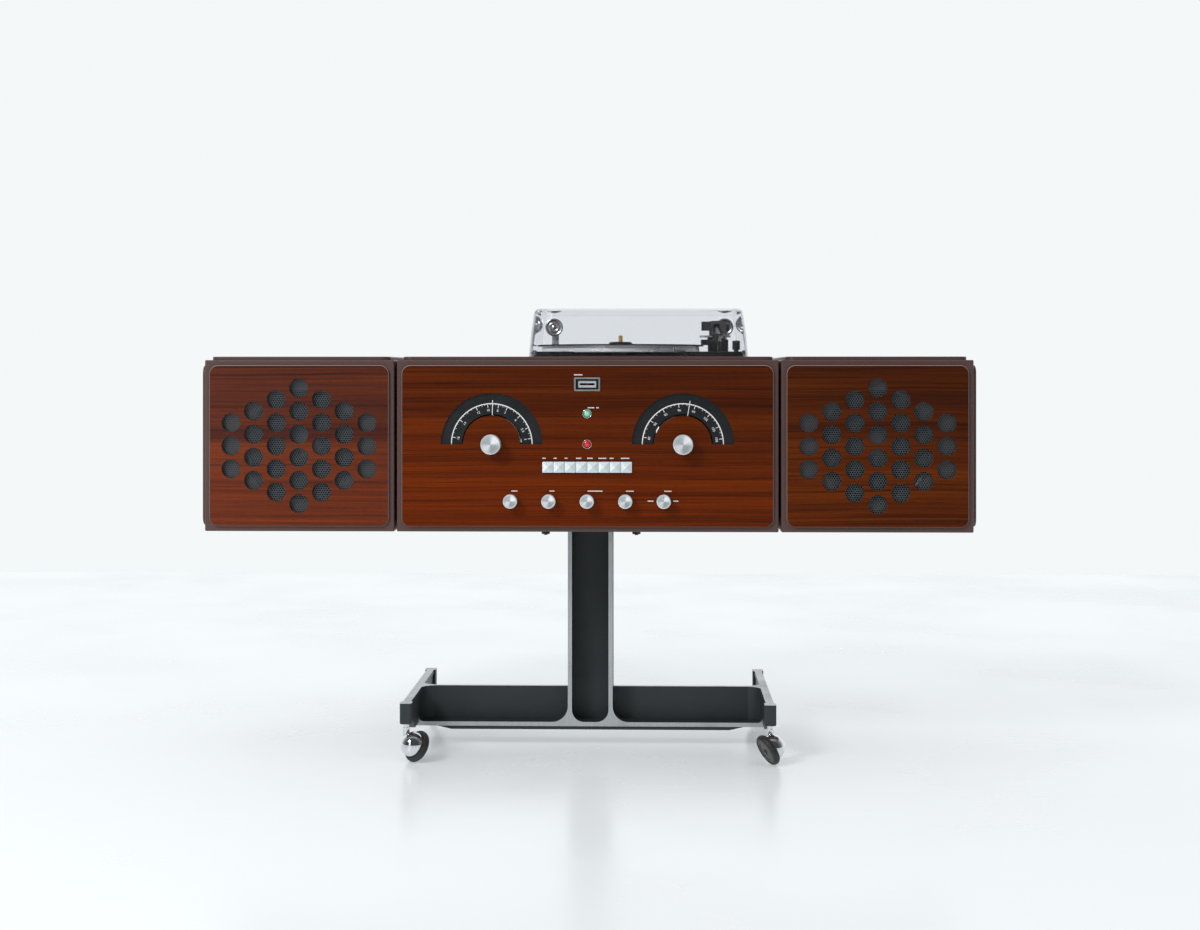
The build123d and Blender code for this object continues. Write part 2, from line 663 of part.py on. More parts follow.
def fixings():
    """Thumb nuts with their studs, back-panel screws and the headed studs the speakers hang on."""
    parts = []
    table_bottom = BOX_FLOOR - TABLE_T
    for side in (-1, 1):
        nut = upright(side * THUMB_X, STAND_MID, table_bottom - 12, table_bottom, 7.0)
        nut = fillet(nut.edges().filter_by(GeomType.CIRCLE), 1.0)
        stud = upright(side * THUMB_X, STAND_MID, table_bottom - 13.5, BOX_FLOOR + WALL, SHAFT_R)
        head = upright(side * THUMB_X, STAND_MID, BOX_FLOOR + WALL, BOX_FLOOR + WALL + 4, 6.0)
        parts.append(nut + stud + head)
        for y in STUD_Y:
            base = CONSOLE_W / 2 - 10.9
            neck_end = CONSOLE_W / 2 + BOX_GAP + 4.7
            neck_x = side * (base + neck_end) / 2
            neck = Pos(neck_x, y, STUD_Z) * Rot(0, 90, 0) * Cylinder(SHAFT_R, neck_end - base)
            cap = Pos(side * (neck_end + 1.5), y, STUD_Z) * Rot(0, 90, 0) * Cylinder(6.0, 3.0)
            parts.append(neck + cap)
    y1 = BACK - BACK_INSET
    for x, z in back_screws():
        shank = level(x, z, y1 - BACK_PANEL_T, y1, 1.6)
        dome = level(x, z, y1, y1 + 2, 3.8)
        dome = fillet(dome.faces().sort_by(Axis.Y)[-1].edges(), 1.4)
        dome -= block(x - 3, x + 3, y1 + 1.2, y1 + 3, z - 0.5, z + 0.5)
        parts.append(shank + dome)
    return parts


# ---------------------------------------------------------------- record deck


def deck_plate():
    """The deck's top plate with control ledges, a back rail, a bearing tube and openings for the drive."""
    y = deck_centre_y()
    top = TOP + DECK_T
    plate = Pos(COVER_X, y, TOP) * extrude(RectangleRounded(DECK_W, DECK_D, 6.0), DECK_T)
    for x0, x1, depth in ((-84.0, -25.0, 25.0), (148.0, 246.0, 46.0)):
        ledge = block(x0, x1, FRONT + 54, FRONT + 54 + depth, top, top + 5.5)
        ledge = fillet(ledge.edges().filter_by(Axis.Z), 2.5)
        plate += soften(ledge, Axis.Z, -1, 1.0)
    plate += block(-84.0, 246.0, y + DECK_D / 2 - 8.0, y + DECK_D / 2 - 2.0, top, top + 5.5)
    plate += upright(SPINDLE_X, SPINDLE_Y, 612, TOP, 12.0)
    plate -= upright(SPINDLE_X, SPINDLE_Y, 611, top + 1, 5.0 + RUNNING)
    pulley_x, pulley_y = pulley_place()
    plate -= upright(pulley_x, pulley_y, TOP - 1, top + 1, PULLEY_R + 1.0)
    plate -= upright(START_X, LEVER_Y, TOP - 1, top + 7, 2.5 + RUNNING)
    plate -= upright(SPEED_X, LEVER_Y, TOP - 1, top + 7, 2.5 + RUNNING)
    plate -= upright(ARM_X, ARM_Y, TOP - 1, top + 1, 8.2)
    return plate


START_X = 154.0
SPEED_X = 237.0
LEVER_Y = FRONT + 74.0


def pulley_place():
    """Where the motor pulley bears on the inside of the platter rim, towards the front left."""
    distance = RIM_IN - PULLEY_R - PULLEY_GAP
    angle = math.radians(225.0)
    return SPINDLE_X + distance * math.cos(angle), SPINDLE_Y + distance * math.sin(angle)


def platter():
    """A turned platter with a deep rim, hub, bearing shaft and record spindle."""
    tip = 2.0
    outline = make_face([
        Line((0, 613), (4.0, 613)),
        Line((4.0, 613), (5.0, 614)),
        Line((5.0, 614), (5.0, 645.2)),
        Line((5.0, 645.2), (14.0, 645.2)),
        Line((14.0, 645.2), (14.0, 657.5)),
        Line((14.0, 657.5), (RIM_IN, 657.5)),
        Line((RIM_IN, 657.5), (RIM_IN, RIM_BOTTOM)),
        Line((RIM_IN, RIM_BOTTOM), (RIM_R - 0.8, RIM_BOTTOM)),
        Line((RIM_R - 0.8, RIM_BOTTOM), (RIM_R, RIM_BOTTOM + 1.2)),
        Line((RIM_R, RIM_BOTTOM + 1.2), (RIM_R, RIM_TOP - 3.4)),
        Line((RIM_R, RIM_TOP - 3.4), (RIM_R - 0.9, RIM_TOP - 2.6)),
        Line((RIM_R - 0.9, RIM_TOP - 2.6), (RIM_R - 0.9, RIM_TOP)),
        Line((RIM_R - 0.9, RIM_TOP), (SPINDLE_R, RIM_TOP)),
        Line((SPINDLE_R, RIM_TOP), (SPINDLE_R, SPINDLE_NECK)),
        Line((SPINDLE_R, SPINDLE_NECK), (SPINDLE_R - 0.4, SPINDLE_NECK + 0.3)),
        Line((SPINDLE_R - 0.4, SPINDLE_NECK + 0.3), (SPINDLE_R - 0.4, SPINDLE_NECK + 1.1)),
        Line((SPINDLE_R - 0.4, SPINDLE_NECK + 1.1), (SPINDLE_R, SPINDLE_NECK + 1.4)),
        Line((SPINDLE_R, SPINDLE_NECK + 1.4), (SPINDLE_R, SPINDLE_TOP - tip)),
        dome(SPINDLE_R, SPINDLE_TOP - tip, tip),
        Line((0, SPINDLE_TOP), (0, 613)),
    ])
    return Pos(SPINDLE_X, SPINDLE_Y, 0) * revolve(Plane.XZ * outline, Axis.Z)


def platter_mat():
    """A ribbed mat, wider than the platter, with a hole for the spindle."""
    mat = Cylinder(MAT_R, MAT_T) - Cylinder(SPINDLE_R + 0.15, MAT_T + 1)
    for radius in (42.0, 58.0, 82.0, 104.0, 122.0, 134.0):
        groove = Cylinder(radius + 1.4, 1.0) - Cylinder(radius - 1.4, 2.0)
        mat -= Pos(0, 0, MAT_T / 2 + 0.1) * groove
    return Pos(SPINDLE_X, SPINDLE_Y, RIM_TOP + MAT_T / 2) * mat


def centre_adapter():
    """The puck that centres records with a large hole."""
    outline = make_face(Polyline(
        (SPINDLE_R + 0.15, 0), (19.4, 0), (19.4, 3.2), (18.4, 4.8), (15.0, 5.6), (10.0, 5.2),
        (6.0, 5.6), (SPINDLE_R + 0.15, 5.0), close=True))
    puck = revolve(Plane.XZ * outline, Axis.Z)
    return Pos(SPINDLE_X, SPINDLE_Y, RIM_TOP + MAT_T) * puck


def drive_motor():
    """The motor can hung under the deck plate on three posts."""
    x, y = pulley_place()
    can = upright(x, y, 585, 631, 28.0)
    can = fillet(can.edges().filter_by(GeomType.CIRCLE), 3.0)
    for turn in range(3):
        angle = math.radians(120 * turn + 30)
        can += upright(x + 21 * math.cos(angle), y + 21 * math.sin(angle), 630, TOP, 3.5)
    return can - upright(x, y, 620, 640, 1.5 + RUNNING)


def motor_pulley():
    """The rubber-tyred pulley on the motor shaft."""
    x, y = pulley_place()
    tyre = upright(x, y, 646.5, 655.5, PULLEY_R)
    tyre = fillet(tyre.edges().filter_by(GeomType.CIRCLE), 0.8)
    return tyre + upright(x, y, 621, 647, 1.5)


def tonearm_base():
    """The arm's pedestal with its top plate, and the arm rest that stands in front of it."""
    top = TOP + DECK_T
    pedestal = block(ARM_X - 26, ARM_X + 20, ARM_Y - 17, ARM_Y + 17, top, 672)
    pedestal = fillet(pedestal.edges().filter_by(Axis.Z), 4.0)
    pedestal -= block(ARM_X - 30, ARM_X - 14, ARM_Y - 20, ARM_Y + 20, top + 6, 663)
    collar = upright(ARM_X, ARM_Y, 672, 676, 15.0)
    plate = block(ARM_X - 28, ARM_X + 24, ARM_Y - 19, ARM_Y + 14, 676, 679)
    plate = fillet(plate.edges().filter_by(Axis.Z), 5.0)
    tail = upright(ARM_X, ARM_Y, 628, top, 8.0)
    base = pedestal + collar + plate + tail
    base -= upright(ARM_X, ARM_Y, 660, 680, 4.0 + RUNNING)
    rest_y = FRONT + 112
    rest_z = arm_height(rest_y) - 5.0
    post = upright(ARM_X, rest_y, top, rest_z - 3, 2.6) + upright(ARM_X, rest_y, top, top + 3, 6.5)
    cradle = block(ARM_X - 7, ARM_X + 9, rest_y - 4, rest_y + 4, rest_z - 3, rest_z)
    cradle += block(ARM_X + 6, ARM_X + 9, rest_y - 4, rest_y + 4, rest_z, rest_z + 10)
    return [base, post + cradle]


def arm_height(y):
    """Height of the arm tube's centre line at a distance from the front, with the arm parked."""
    slope = (ARM_PIVOT_Z - 672.5) / 150.0
    return ARM_PIVOT_Z - (ARM_Y - y) * slope


def tonearm_yoke():
    """The fork that swings on the base and carries the arm between its cheeks."""
    base = block(-12, 12, -9, 9, 679 + FREE, 683.5)
    cheeks = block(-12, -8.2, -9, 9, 683, 703) + block(8.2, 12, -9, 9, 683, 703)
    yoke = base + cheeks
    yoke = fillet(yoke.edges().filter_by(Axis.Z), 1.2)
    left = Pos(-18.5, 0, 695) * Box(13.2, 15, 15.5)
    left = fillet(left.edges().filter_by(Axis.X), 2.0)
    right = Pos(16.6, 0, 693) * Rot(0, 90, 0) * Cylinder(6.2, 10.0)
    stem = upright(0, 0, 661, 680, 4.0)
    yoke += left + right + stem
    yoke -= Pos(0, 0, ARM_PIVOT_Z) * Rot(0, 90, 0) * Cylinder(1.5 + RUNNING, 26.0)
    return Pos(ARM_X, ARM_Y, 0) * yoke


def tonearm():
    """Pivot block, tube, head shell with cartridge, and the counterweight behind the pivot."""
    pivot = Pos(0, 0, ARM_PIVOT_Z) * Box(15.4, 15, 11)
    pin = Pos(0, 0, ARM_PIVOT_Z) * Rot(0, 90, 0) * Cylinder(1.5, 23.0)
    drop = ARM_PIVOT_Z - arm_height(ARM_Y - 150)
    tilt = math.degrees(math.atan2(drop, 150.0))
    reach = math.hypot(drop, 150.0)
    tube = Pos(0, 0, ARM_PIVOT_Z) * Rot(90 + tilt, 0, 0) * Pos(0, 0, reach / 2) * Cylinder(3.6, reach)
    weight = level(0, ARM_PIVOT_Z, 12, 30, 9.2)
    weight = fillet(weight.edges().filter_by(GeomType.CIRCLE), 1.2)
    stub = level(0, ARM_PIVOT_Z, 6, 13, 4.0)
    shell = Pos(0, -12, 4.5) * Box(15, 30, 3) + Pos(0, 0, 2.5) * Box(9, 12, 7)
    shell += Pos(0, -14, -1.5) * Box(10, 16, 9)
    shell += Pos(9, -20, 4.5) * Box(8, 2.4, 2)
    stylus = Pos(0, -18, -6.9) * Cylinder(0.6, 2.6)
    head = Pos(0, -151, 672.5) * Rot(0, 0, -20) * (shell + stylus)
    arm = pivot + pin + tube + weight + stub + head
    return Pos(ARM_X, ARM_Y, 0) * arm


def start_lever():
    """A chrome lever on its own pivot: a flat arm with an upright post at its end."""
    top = TOP + DECK_T + 5.5
    shaft = upright(0, 0, 630, top + 1, 2.5)
    arm = block(-20, 3, -3, 3, top + FREE, top + 2)
    arm = fillet(arm.edges().filter_by(Axis.Z), 2.8)
    post = upright(-17, 0, top + 1.5, top + 7, 2.6)
    return Pos(START_X, LEVER_Y, 0) * (shaft + arm + post)


def speed_selector():
    """A small black knob on a thin shaft."""
    top = TOP + DECK_T + 5.5
    cap = upright(0, 0, 653, 667.5, 6.2)
    cap = fillet(cap.faces().sort_by(Axis.Z)[-1].edges(), 1.0)
    grip = block(-1.2, 1.2, -6.8, 0, 655, 668)
    shaft = upright(0, 0, 630, 654, 2.5)
    collar = upright(0, 0, top + FREE, 653, 4.0)
    return Pos(SPEED_X, LEVER_Y, 0) * (cap + grip + shaft + collar)


def cover_size(sizes, level):
    """Width or depth of the cover at a level above the raised top."""
    low, crease, high = COVER_LEVELS
    if level <= crease:
        return sizes[0] + (sizes[1] - sizes[0]) * (level - low) / (crease - low)
    return sizes[1] + (sizes[2] - sizes[1]) * (level - crease) / (high - crease)


def cover_section(level_above, shrink):
    """The cover's outline at one level, shrunk all round."""
    width = cover_size(COVER_W, level_above) - 2 * shrink
    depth = cover_size(COVER_D, level_above) - 2 * shrink
    outline = RectangleRounded(width, depth, COVER_CORNER - shrink)
    return Pos(COVER_X, deck_centre_y(), TOP + level_above) * outline


def cover_solid(shrink, bottom, top):
    """The space inside an outline that tapers gently to a crease and then more to the top."""
    crease = COVER_LEVELS[1]
    lower = loft([cover_section(bottom, shrink), cover_section(crease, shrink)], ruled=True)
    upper = loft([cover_section(crease, shrink), cover_section(top, shrink)], ruled=True)
    return fillet((lower + upper).faces().sort_by(Axis.Z)[-1].edges(), COVER_CROWN - shrink)


def dust_cover():
    """The clear cover, open below, with two holes for the hinge clamps in its back wall."""
    shell = cover_solid(0.0, COVER_LEVELS[0], COVER_LEVELS[2])
    shell -= cover_solid(COVER_T, COVER_LEVELS[0] - 0.01, COVER_LEVELS[2] - COVER_T)
    for x in HINGE_X:
        shell -= clamp_place(x) * Cylinder(3.0 + FREE, 30.0)
    return shell


CLAMP_Z = 695.5               # middle of the round clamp discs
CLAMP_R = 13.0


def clamp_place(x):
    """Middle of the cover's back wall at a hinge, with local Z pointing out of the wall, backwards."""
    rise = COVER_LEVELS[2] - COVER_LEVELS[1]
    inset = (COVER_D[1] - COVER_D[2]) / 2
    lean = math.degrees(math.atan2(inset, rise))
    share = (CLAMP_Z - TOP - COVER_LEVELS[1]) / rise
    outside = deck_centre_y() + COVER_D[1] / 2 - inset * share
    return Pos(x, outside - COVER_T / 2, CLAMP_Z) * Rot(lean - 90, 0, 0)


def cover_leaves():
    """Two hinge leaves: knuckle and pin below, a strap up the back wall, a round clamp disc inside."""
    leaves = []
    for x in HINGE_X:
        knuckle = Pos(x, HINGE_Y, HINGE_Z) * Rot(0, 90, 0) * Cylinder(3.4, 12.0)
        pin = Pos(x, HINGE_Y, HINGE_Z) * Rot(0, 90, 0) * Cylinder(1.5, 29.0)
        strap = block(x - 6, x + 6, HINGE_Y - 3.4, HINGE_Y - 1.6, HINGE_Z, CLAMP_Z + 10)
        spot = clamp_place(x)
        spacer = spot * Pos(0, 0, COVER_T / 2 + 4.1) * Cylinder(6.0, 8.0)
        screw = spot * Pos(0, 0, 2.0) * Cylinder(3.0, 12.0)
        disc = spot * Pos(0, 0, -COVER_T / 2 - 1.6) * Cylinder(CLAMP_R, 3.0)
        disc = chamfer(disc.edges().filter_by(GeomType.CIRCLE).sort_by(Axis.Y)[:1], 0.8)
        leaves.append(knuckle + pin + strap + spacer + screw + disc)
    return leaves


def cover_hinge_blocks():
    """Two blocks on the cabinet top, each with a fork for the leaf's knuckle."""
    blocks = []
    for x in HINGE_X:
        body = block(x - 15, x + 15, HINGE_Y - 3.8, HINGE_Y + 3.8, TOP, HINGE_Z + 4)
        body = fillet(body.edges().filter_by(Axis.X).sort_by(Axis.Z)[-2:], 3.0)
        body -= block(x - 6.4, x + 6.4, HINGE_Y - 5, HINGE_Y + 5, TOP + 3.2, HINGE_Z + 6)
        body -= Pos(x, HINGE_Y, HINGE_Z) * Rot(0, 90, 0) * Cylinder(1.5 + RUNNING, 29.4)
        blocks.append(body)
    return blocks


# ---------------------------------------------------------------- loudspeakers


def speaker_cabinet(side):
    """A closed speaker box: raised top and outer side, front pocket, baffle, slots for the studs."""
    x = side * SPEAKER_X
    half = SPEAKER_W / 2
    case = box_shell(SPEAKER_W, x)
    outline = RectangleRounded(BOX_D - 2 * TILE_INSET, BOX_H - 2 * TILE_INSET, TILE_CORNER)
    side_tile = soften(extrude(outline, TILE), Axis.Z, -1, TILE_EDGE)
    outer = side * (SPEAKER_X + half)
    case += Pos(outer, (FRONT + BACK) / 2, BOX_MID_Z) * Rot(0, 0, 90 * side) * Rot(90, 0, 0) * side_tile
    pocket = 8.0
    baffle = 12.0
    case -= block(x - half + 25, x + half - 25, FRONT - 1, FRONT + pocket, BOX_FLOOR + 25, BOX_TOP - 25)
    case -= level(x, BOX_MID_Z, FRONT, FRONT + pocket + baffle + 1, 91.0)
    case -= block(x - half + WALL, x + half - WALL, FRONT + pocket + baffle, BACK - WALL,
                  BOX_FLOOR + WALL, BOX_TOP - WALL)
    inner = side * (SPEAKER_X - half)
    for y in STUD_Y:
        case -= stud_slot(side, inner, y)
    return case


def stud_slot(side, face, y):
    """A T-slot in the speaker's inner side, open at the bottom, that drops over a hanging stud."""
    neck = SHAFT_R + FREE
    head = 6.0 + FREE
    neck_depth = 4.3
    head_end = 8.2
    z0 = BOX_FLOOR - 1
    lip = side * (face * side + neck_depth)
    deep = side * (face * side + head_end)
    narrow = block(min(face - side, lip), max(face - side, lip), y - neck, y + neck, z0, STUD_Z)
    wide = block(min(lip, deep), max(lip, deep), y - head, y + head, z0, STUD_Z)
    crown = Pos((face - side + lip) / 2, y, STUD_Z) * Rot(0, 90, 0) * Cylinder(neck, neck_depth + 1)
    crown += Pos((lip + deep) / 2, y, STUD_Z) * Rot(0, 90, 0) * Cylinder(head, head_end - neck_depth)
    return narrow + wide + crown


def hole_places():
    """Offsets of the sound holes: columns of different heights, staggered by half a row."""
    places = []
    for index, count in enumerate(HOLE_COLUMNS):
        x = (index - (len(HOLE_COLUMNS) - 1) / 2) * HOLE_PITCH_X
        for row in range(count):
            places.append((x, (row - (count - 1) / 2) * HOLE_PITCH_Z))
    return places


def speaker_front(side):
    """The veneered front with its thirty sound holes."""
    x = side * SPEAKER_X
    half_w = SPEAKER_W / 2 - 26.0
    half_h = BOX_H / 2 - 26.0
    panel = front_tile(SPEAKER_W - 2 * TILE_INSET, x)
    panel += block(x - half_w, x + half_w, FRONT, FRONT + 3.0, BOX_MID_Z - half_h, BOX_MID_Z + half_h)
    hole = facing(Circle(HOLE_R), FRONT + 4.0, TILE + 6.0)
    cuts = [Pos(x + dx, 0, BOX_MID_Z + dz) * hole for dx, dz in hole_places()]
    return panel - cuts


def speaker_grille(side):
    """The metal sheet behind the sound holes."""
    x = side * SPEAKER_X
    half_w = SPEAKER_W / 2 - 26.0
    half_h = BOX_H / 2 - 26.0
    return block(x - half_w, x + half_w, FRONT + 3.0, FRONT + 4.0, BOX_MID_Z - half_h, BOX_MID_Z + half_h)


def speaker_driver(side):
    """A round driver behind the baffle: flange, basket, cone and magnet."""
    profile = [
        (0, -58), (16, -56), (84, -9), (90, -4), (90, 0), (104, 0), (104, -4), (98, -4), (92, -12),
        (40, -66), (46, -66), (46, -92), (0, -92),
    ]
    return turned(profile, side * SPEAKER_X, BOX_MID_Z, FRONT + 20.0)


# ---------------------------------------------------------------- assembly


def assembly():
    """Every node and its solids, in place."""
    nodes = {
        "stand_casting": stand_casting(),
        "console_cabinet": console_cabinet(),
        "console_front_panel": console_front_panel(),
        "console_back_panel": console_back_panel(),
        "dial_scales": dial_scales(),
        "switch_bank": switch_bank(),
        "tuning_meter": tuning_meter(),
        "meter_needle": meter_needle(),
        "indicator_lamps": indicator_lamps(),
        "tuner_amplifier": tuner_amplifier(),
        "rear_sockets": rear_sockets(),
        "mains_inlet": mains_inlet(),
        "fixings": fixings(),
        "deck_plate": deck_plate(),
        "platter": platter(),
        "platter_mat": platter_mat(),
        "centre_adapter": centre_adapter(),
        "drive_motor": drive_motor(),
        "motor_pulley": motor_pulley(),
        "tonearm_base": tonearm_base(),
        "tonearm_yoke": tonearm_yoke(),
        "tonearm": tonearm(),
        "start_lever": start_lever(),
        "speed_selector": speed_selector(),
        "dust_cover": dust_cover(),
        "cover_leaves": cover_leaves(),
        "cover_hinge_blocks": cover_hinge_blocks(),
    }
    height = caster_height()
    for name, (side, end, hand, turn) in CASTERS.items():
        y = STAND_MID + end * (FOOT_LENGTH / 2 - CASTER_INSET)
        spot = place(side * FOOT_MID, y, 0, turn)
        nodes["caster_hood_" + name] = spot * hood_solid(hand, height)
        nodes["caster_wheel_" + name] = spot * (wheel_axis_place(hand, height) * wheel_solid())
    for name, side, rest in (("left", -1, POINTER_REST[0]), ("right", 1, POINTER_REST[1])):
        knob = spun_knob(TUNING_KNOB_R, KNOB_REACH, False)
        nodes["tuning_knob_" + name] = Pos(side * DIAL_X, 0, DIAL_Z) * knob
        nodes["dial_pointer_" + name] = dial_pointer(side, rest)
        nodes["speaker_cabinet_" + name] = speaker_cabinet(side)
        nodes["speaker_front_" + name] = speaker_front(side)
        nodes["speaker_grille_" + name] = speaker_grille(side)
        nodes["speaker_driver_" + name] = speaker_driver(side)
    for number, x in enumerate(knob_places(), start=1):
        nodes[f"control_knob_{number}"] = Pos(x, 0, KNOB_Z) * spun_knob(KNOB_R, KNOB_DEPTH, True)
    for number, x in enumerate(button_places(), start=1):
        nodes[f"push_button_{number}"] = button(x)
    return nodes


def solids_of(shape):
    """All the solids of a shape or of a list of shapes."""
    shapes = shape if isinstance(shape, list) else [shape]
    return [solid for item in shapes for solid in item.solids()]


def main():
    """Write one STEP file per node."""
    os.makedirs("parts", exist_ok=True)
    for name, shape in assembly().items():
        solids = solids_of(shape)
        export_step(solids[0] if len(solids) == 1 else Compound(solids), f"parts/{name}.step")


main()
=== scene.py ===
"""Looks of the radio phonograph console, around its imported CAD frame. Metres, +Z up, front towards -Y."""

import json
import math
import random

import bmesh
import bpy
from mathutils import Matrix, Vector


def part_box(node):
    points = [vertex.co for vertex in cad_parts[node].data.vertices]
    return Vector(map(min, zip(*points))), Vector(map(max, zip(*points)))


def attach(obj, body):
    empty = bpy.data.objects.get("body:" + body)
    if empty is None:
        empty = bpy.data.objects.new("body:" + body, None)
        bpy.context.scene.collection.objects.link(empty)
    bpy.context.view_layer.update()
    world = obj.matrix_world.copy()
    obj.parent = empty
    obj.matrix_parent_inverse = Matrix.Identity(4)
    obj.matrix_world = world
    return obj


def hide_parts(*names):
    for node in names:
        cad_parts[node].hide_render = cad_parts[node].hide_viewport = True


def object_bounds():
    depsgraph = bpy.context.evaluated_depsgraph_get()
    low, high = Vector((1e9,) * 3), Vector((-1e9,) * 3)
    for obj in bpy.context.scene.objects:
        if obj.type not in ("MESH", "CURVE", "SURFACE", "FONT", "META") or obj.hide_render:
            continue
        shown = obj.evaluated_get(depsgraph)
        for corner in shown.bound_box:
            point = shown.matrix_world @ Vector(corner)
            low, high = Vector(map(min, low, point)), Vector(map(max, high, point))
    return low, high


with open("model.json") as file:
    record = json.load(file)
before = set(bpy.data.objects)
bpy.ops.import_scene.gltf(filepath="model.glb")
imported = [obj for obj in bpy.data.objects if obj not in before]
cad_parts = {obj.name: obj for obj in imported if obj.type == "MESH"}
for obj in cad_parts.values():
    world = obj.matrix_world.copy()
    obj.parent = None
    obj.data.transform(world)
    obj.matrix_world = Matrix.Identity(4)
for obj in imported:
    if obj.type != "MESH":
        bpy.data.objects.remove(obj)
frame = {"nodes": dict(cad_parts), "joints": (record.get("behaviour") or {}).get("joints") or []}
cad_box = [list(corner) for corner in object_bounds()]
NODES = frame["nodes"]
MM = 0.001


# ---------------------------------------------------------------- places taken from the frame


def middle(node):
    """Middle of a node's box."""
    low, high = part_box(node)
    return (low + high) / 2


def joint_place(name):
    """Position of a joint."""
    return Vector(next(j["pos_m"] for j in frame["joints"] if j["name"] == name))


CABINET_LOW, CABINET_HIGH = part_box("console_cabinet")
FRONT = CABINET_LOW.y                                # plane of the cabinet fronts
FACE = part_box("console_front_panel")[0].y            # plane of the raised front panels
FLOOR_OF_BOX = CABINET_LOW.z
TILE_TOP = CABINET_HIGH.z                            # top of the raised top panels
STAND_LOW, STAND_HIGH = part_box("stand_casting")
STAND_MID = (STAND_LOW.y + STAND_HIGH.y) / 2
DIALS = {"left": joint_place("tuning_left"), "right": joint_place("tuning_right")}
ARM = joint_place("arm_lift")
SPINDLE = joint_place("platter_spin")


# ---------------------------------------------------------------- camera, floor and light


def add_camera():
    """A level camera a little right of the middle, shifted down to frame the stand."""
    data = bpy.data.cameras.new("camera")
    data.lens = 55.4
    data.sensor_width = 36.0
    data.shift_y = -0.0774
    camera = bpy.data.objects.new("camera", data)
    camera.location = (0.097, FRONT - 2.898, 0.617)
    camera.rotation_euler = (math.pi / 2, 0, math.radians(1.52))
    bpy.context.scene.collection.objects.link(camera)
    bpy.context.scene.camera = camera


def add_area(name, place, target, size, power, color=(1.0, 1.0, 1.0)):
    """A soft box aimed at a point."""
    data = bpy.data.lights.new(name, "AREA")
    data.shape = "RECTANGLE"
    data.size, data.size_y = size
    data.energy = power
    data.color = color
    lamp = bpy.data.objects.new(name, data)
    lamp.location = place
    lamp.rotation_euler = (Vector(target) - Vector(place)).to_track_quat("-Z", "Y").to_euler()
    bpy.context.scene.collection.objects.link(lamp)


HIDDEN_SIDE, OPEN_SIDE = (0.055, 0.058, 0.062), (0.86, 0.89, 0.91)
HORIZON, ZENITH = 0.42, 1.10
SKY_TINT = (0.965, 0.985, 1.0)


def add_world():
    """A pale room: plain to the eye, brighter overhead for dull surfaces, dim in front for polished ones."""
    world = bpy.data.worlds.new("room")
    bpy.context.scene.world = world
    world.use_nodes = True
    tree = world.node_tree
    tree.nodes.clear()
    link = tree.links.new

    def node(kind):
        return tree.nodes.new("ShaderNode" + kind)

    def step(operation, source, *numbers):
        item = node("Math")
        item.operation = operation
        link(source, item.inputs[0])
        for socket, number in zip(list(item.inputs)[1:], numbers):
            socket.default_value = number
        return item.outputs[0]

    split = node("SeparateXYZ")
    link(node("TexCoord").outputs["Generated"], split.inputs[0])
    seen, dull, polished = node("Background"), node("Background"), node("Background")
    seen.inputs["Color"].default_value = (0.905, 0.937, 0.948, 1)
    height = node("MapRange")
    height.inputs["To Min"].default_value = HORIZON
    height.inputs["To Max"].default_value = ZENITH
    link(split.outputs["Z"], height.inputs["Value"])
    tint = node("CombineXYZ")
    for share, socket in zip(SKY_TINT, tint.inputs):
        link(step("MULTIPLY", height.outputs[0], share), socket)
    link(tint.outputs[0], dull.inputs["Color"])
    ramp = node("ValToRGB")
    ramp.color_ramp.elements.new(0.5)
    stops = ((0.25, HIDDEN_SIDE), (0.50, (0.20, 0.21, 0.22)), (0.80, OPEN_SIDE))
    for element, (spot, color) in zip(ramp.color_ramp.elements, stops):
        element.position = spot
        element.color = (*color, 1)
    link(step("MULTIPLY_ADD", split.outputs["Y"], 0.5, 0.5), ramp.inputs["Fac"])
    link(ramp.outputs["Color"], polished.inputs["Color"])
    path = node("LightPath")
    shown = seen.outputs[0]
    for ray, light in (("Is Diffuse Ray", dull), ("Is Glossy Ray", polished)):
        mix = node("MixShader")
        link(path.outputs[ray], mix.inputs["Fac"])
        link(shown, mix.inputs[1])
        link(light.outputs[0], mix.inputs[2])
        shown = mix.outputs[0]
    link(shown, node("OutputWorld").inputs["Surface"])


def add_floor():
    """The pale glossy floor, which ends where the room's far wall would start."""
    mesh = bpy.data.meshes.new("floor")
    x, near, far = 7.0, -9.0, 2.576
    mesh.from_pydata([(-x, near, 0), (x, near, 0), (x, far, 0), (-x, far, 0)], [], [(0, 1, 2, 3)])
    floor = bpy.data.objects.new("floor", mesh)
    bpy.context.scene.collection.objects.link(floor)
    s = Shader("floor_paint")
    x, y, _ = s.position()
    clouds = s.noise(s.vector(x, y, 0.0), 2.2, 5.0)
    scuffs = s.noise(s.vector(s.times(x, 3.0), s.times(y, 16.0), 0.0), 3.0, 6.0)
    marks = s.ramp(scuffs, [(0.60, (0, 0, 0)), (0.78, (1, 1, 1))])
    base = s.mix(clouds, (0.53, 0.555, 0.565), (0.565, 0.585, 0.595))
    base = s.mix(s.times(marks, 0.10), base, (0.40, 0.42, 0.43))
    s.set(base_color=base, roughness=s.span(clouds, 0.3, 0.7, 0.16, 0.30), specular=0.22,
          emission=(0.90, 0.935, 0.95), emission_strength=0.27)
    s.bump(scuffs, 0.05, 0.002)
    s.paint(floor)


# ---------------------------------------------------------------- node helper


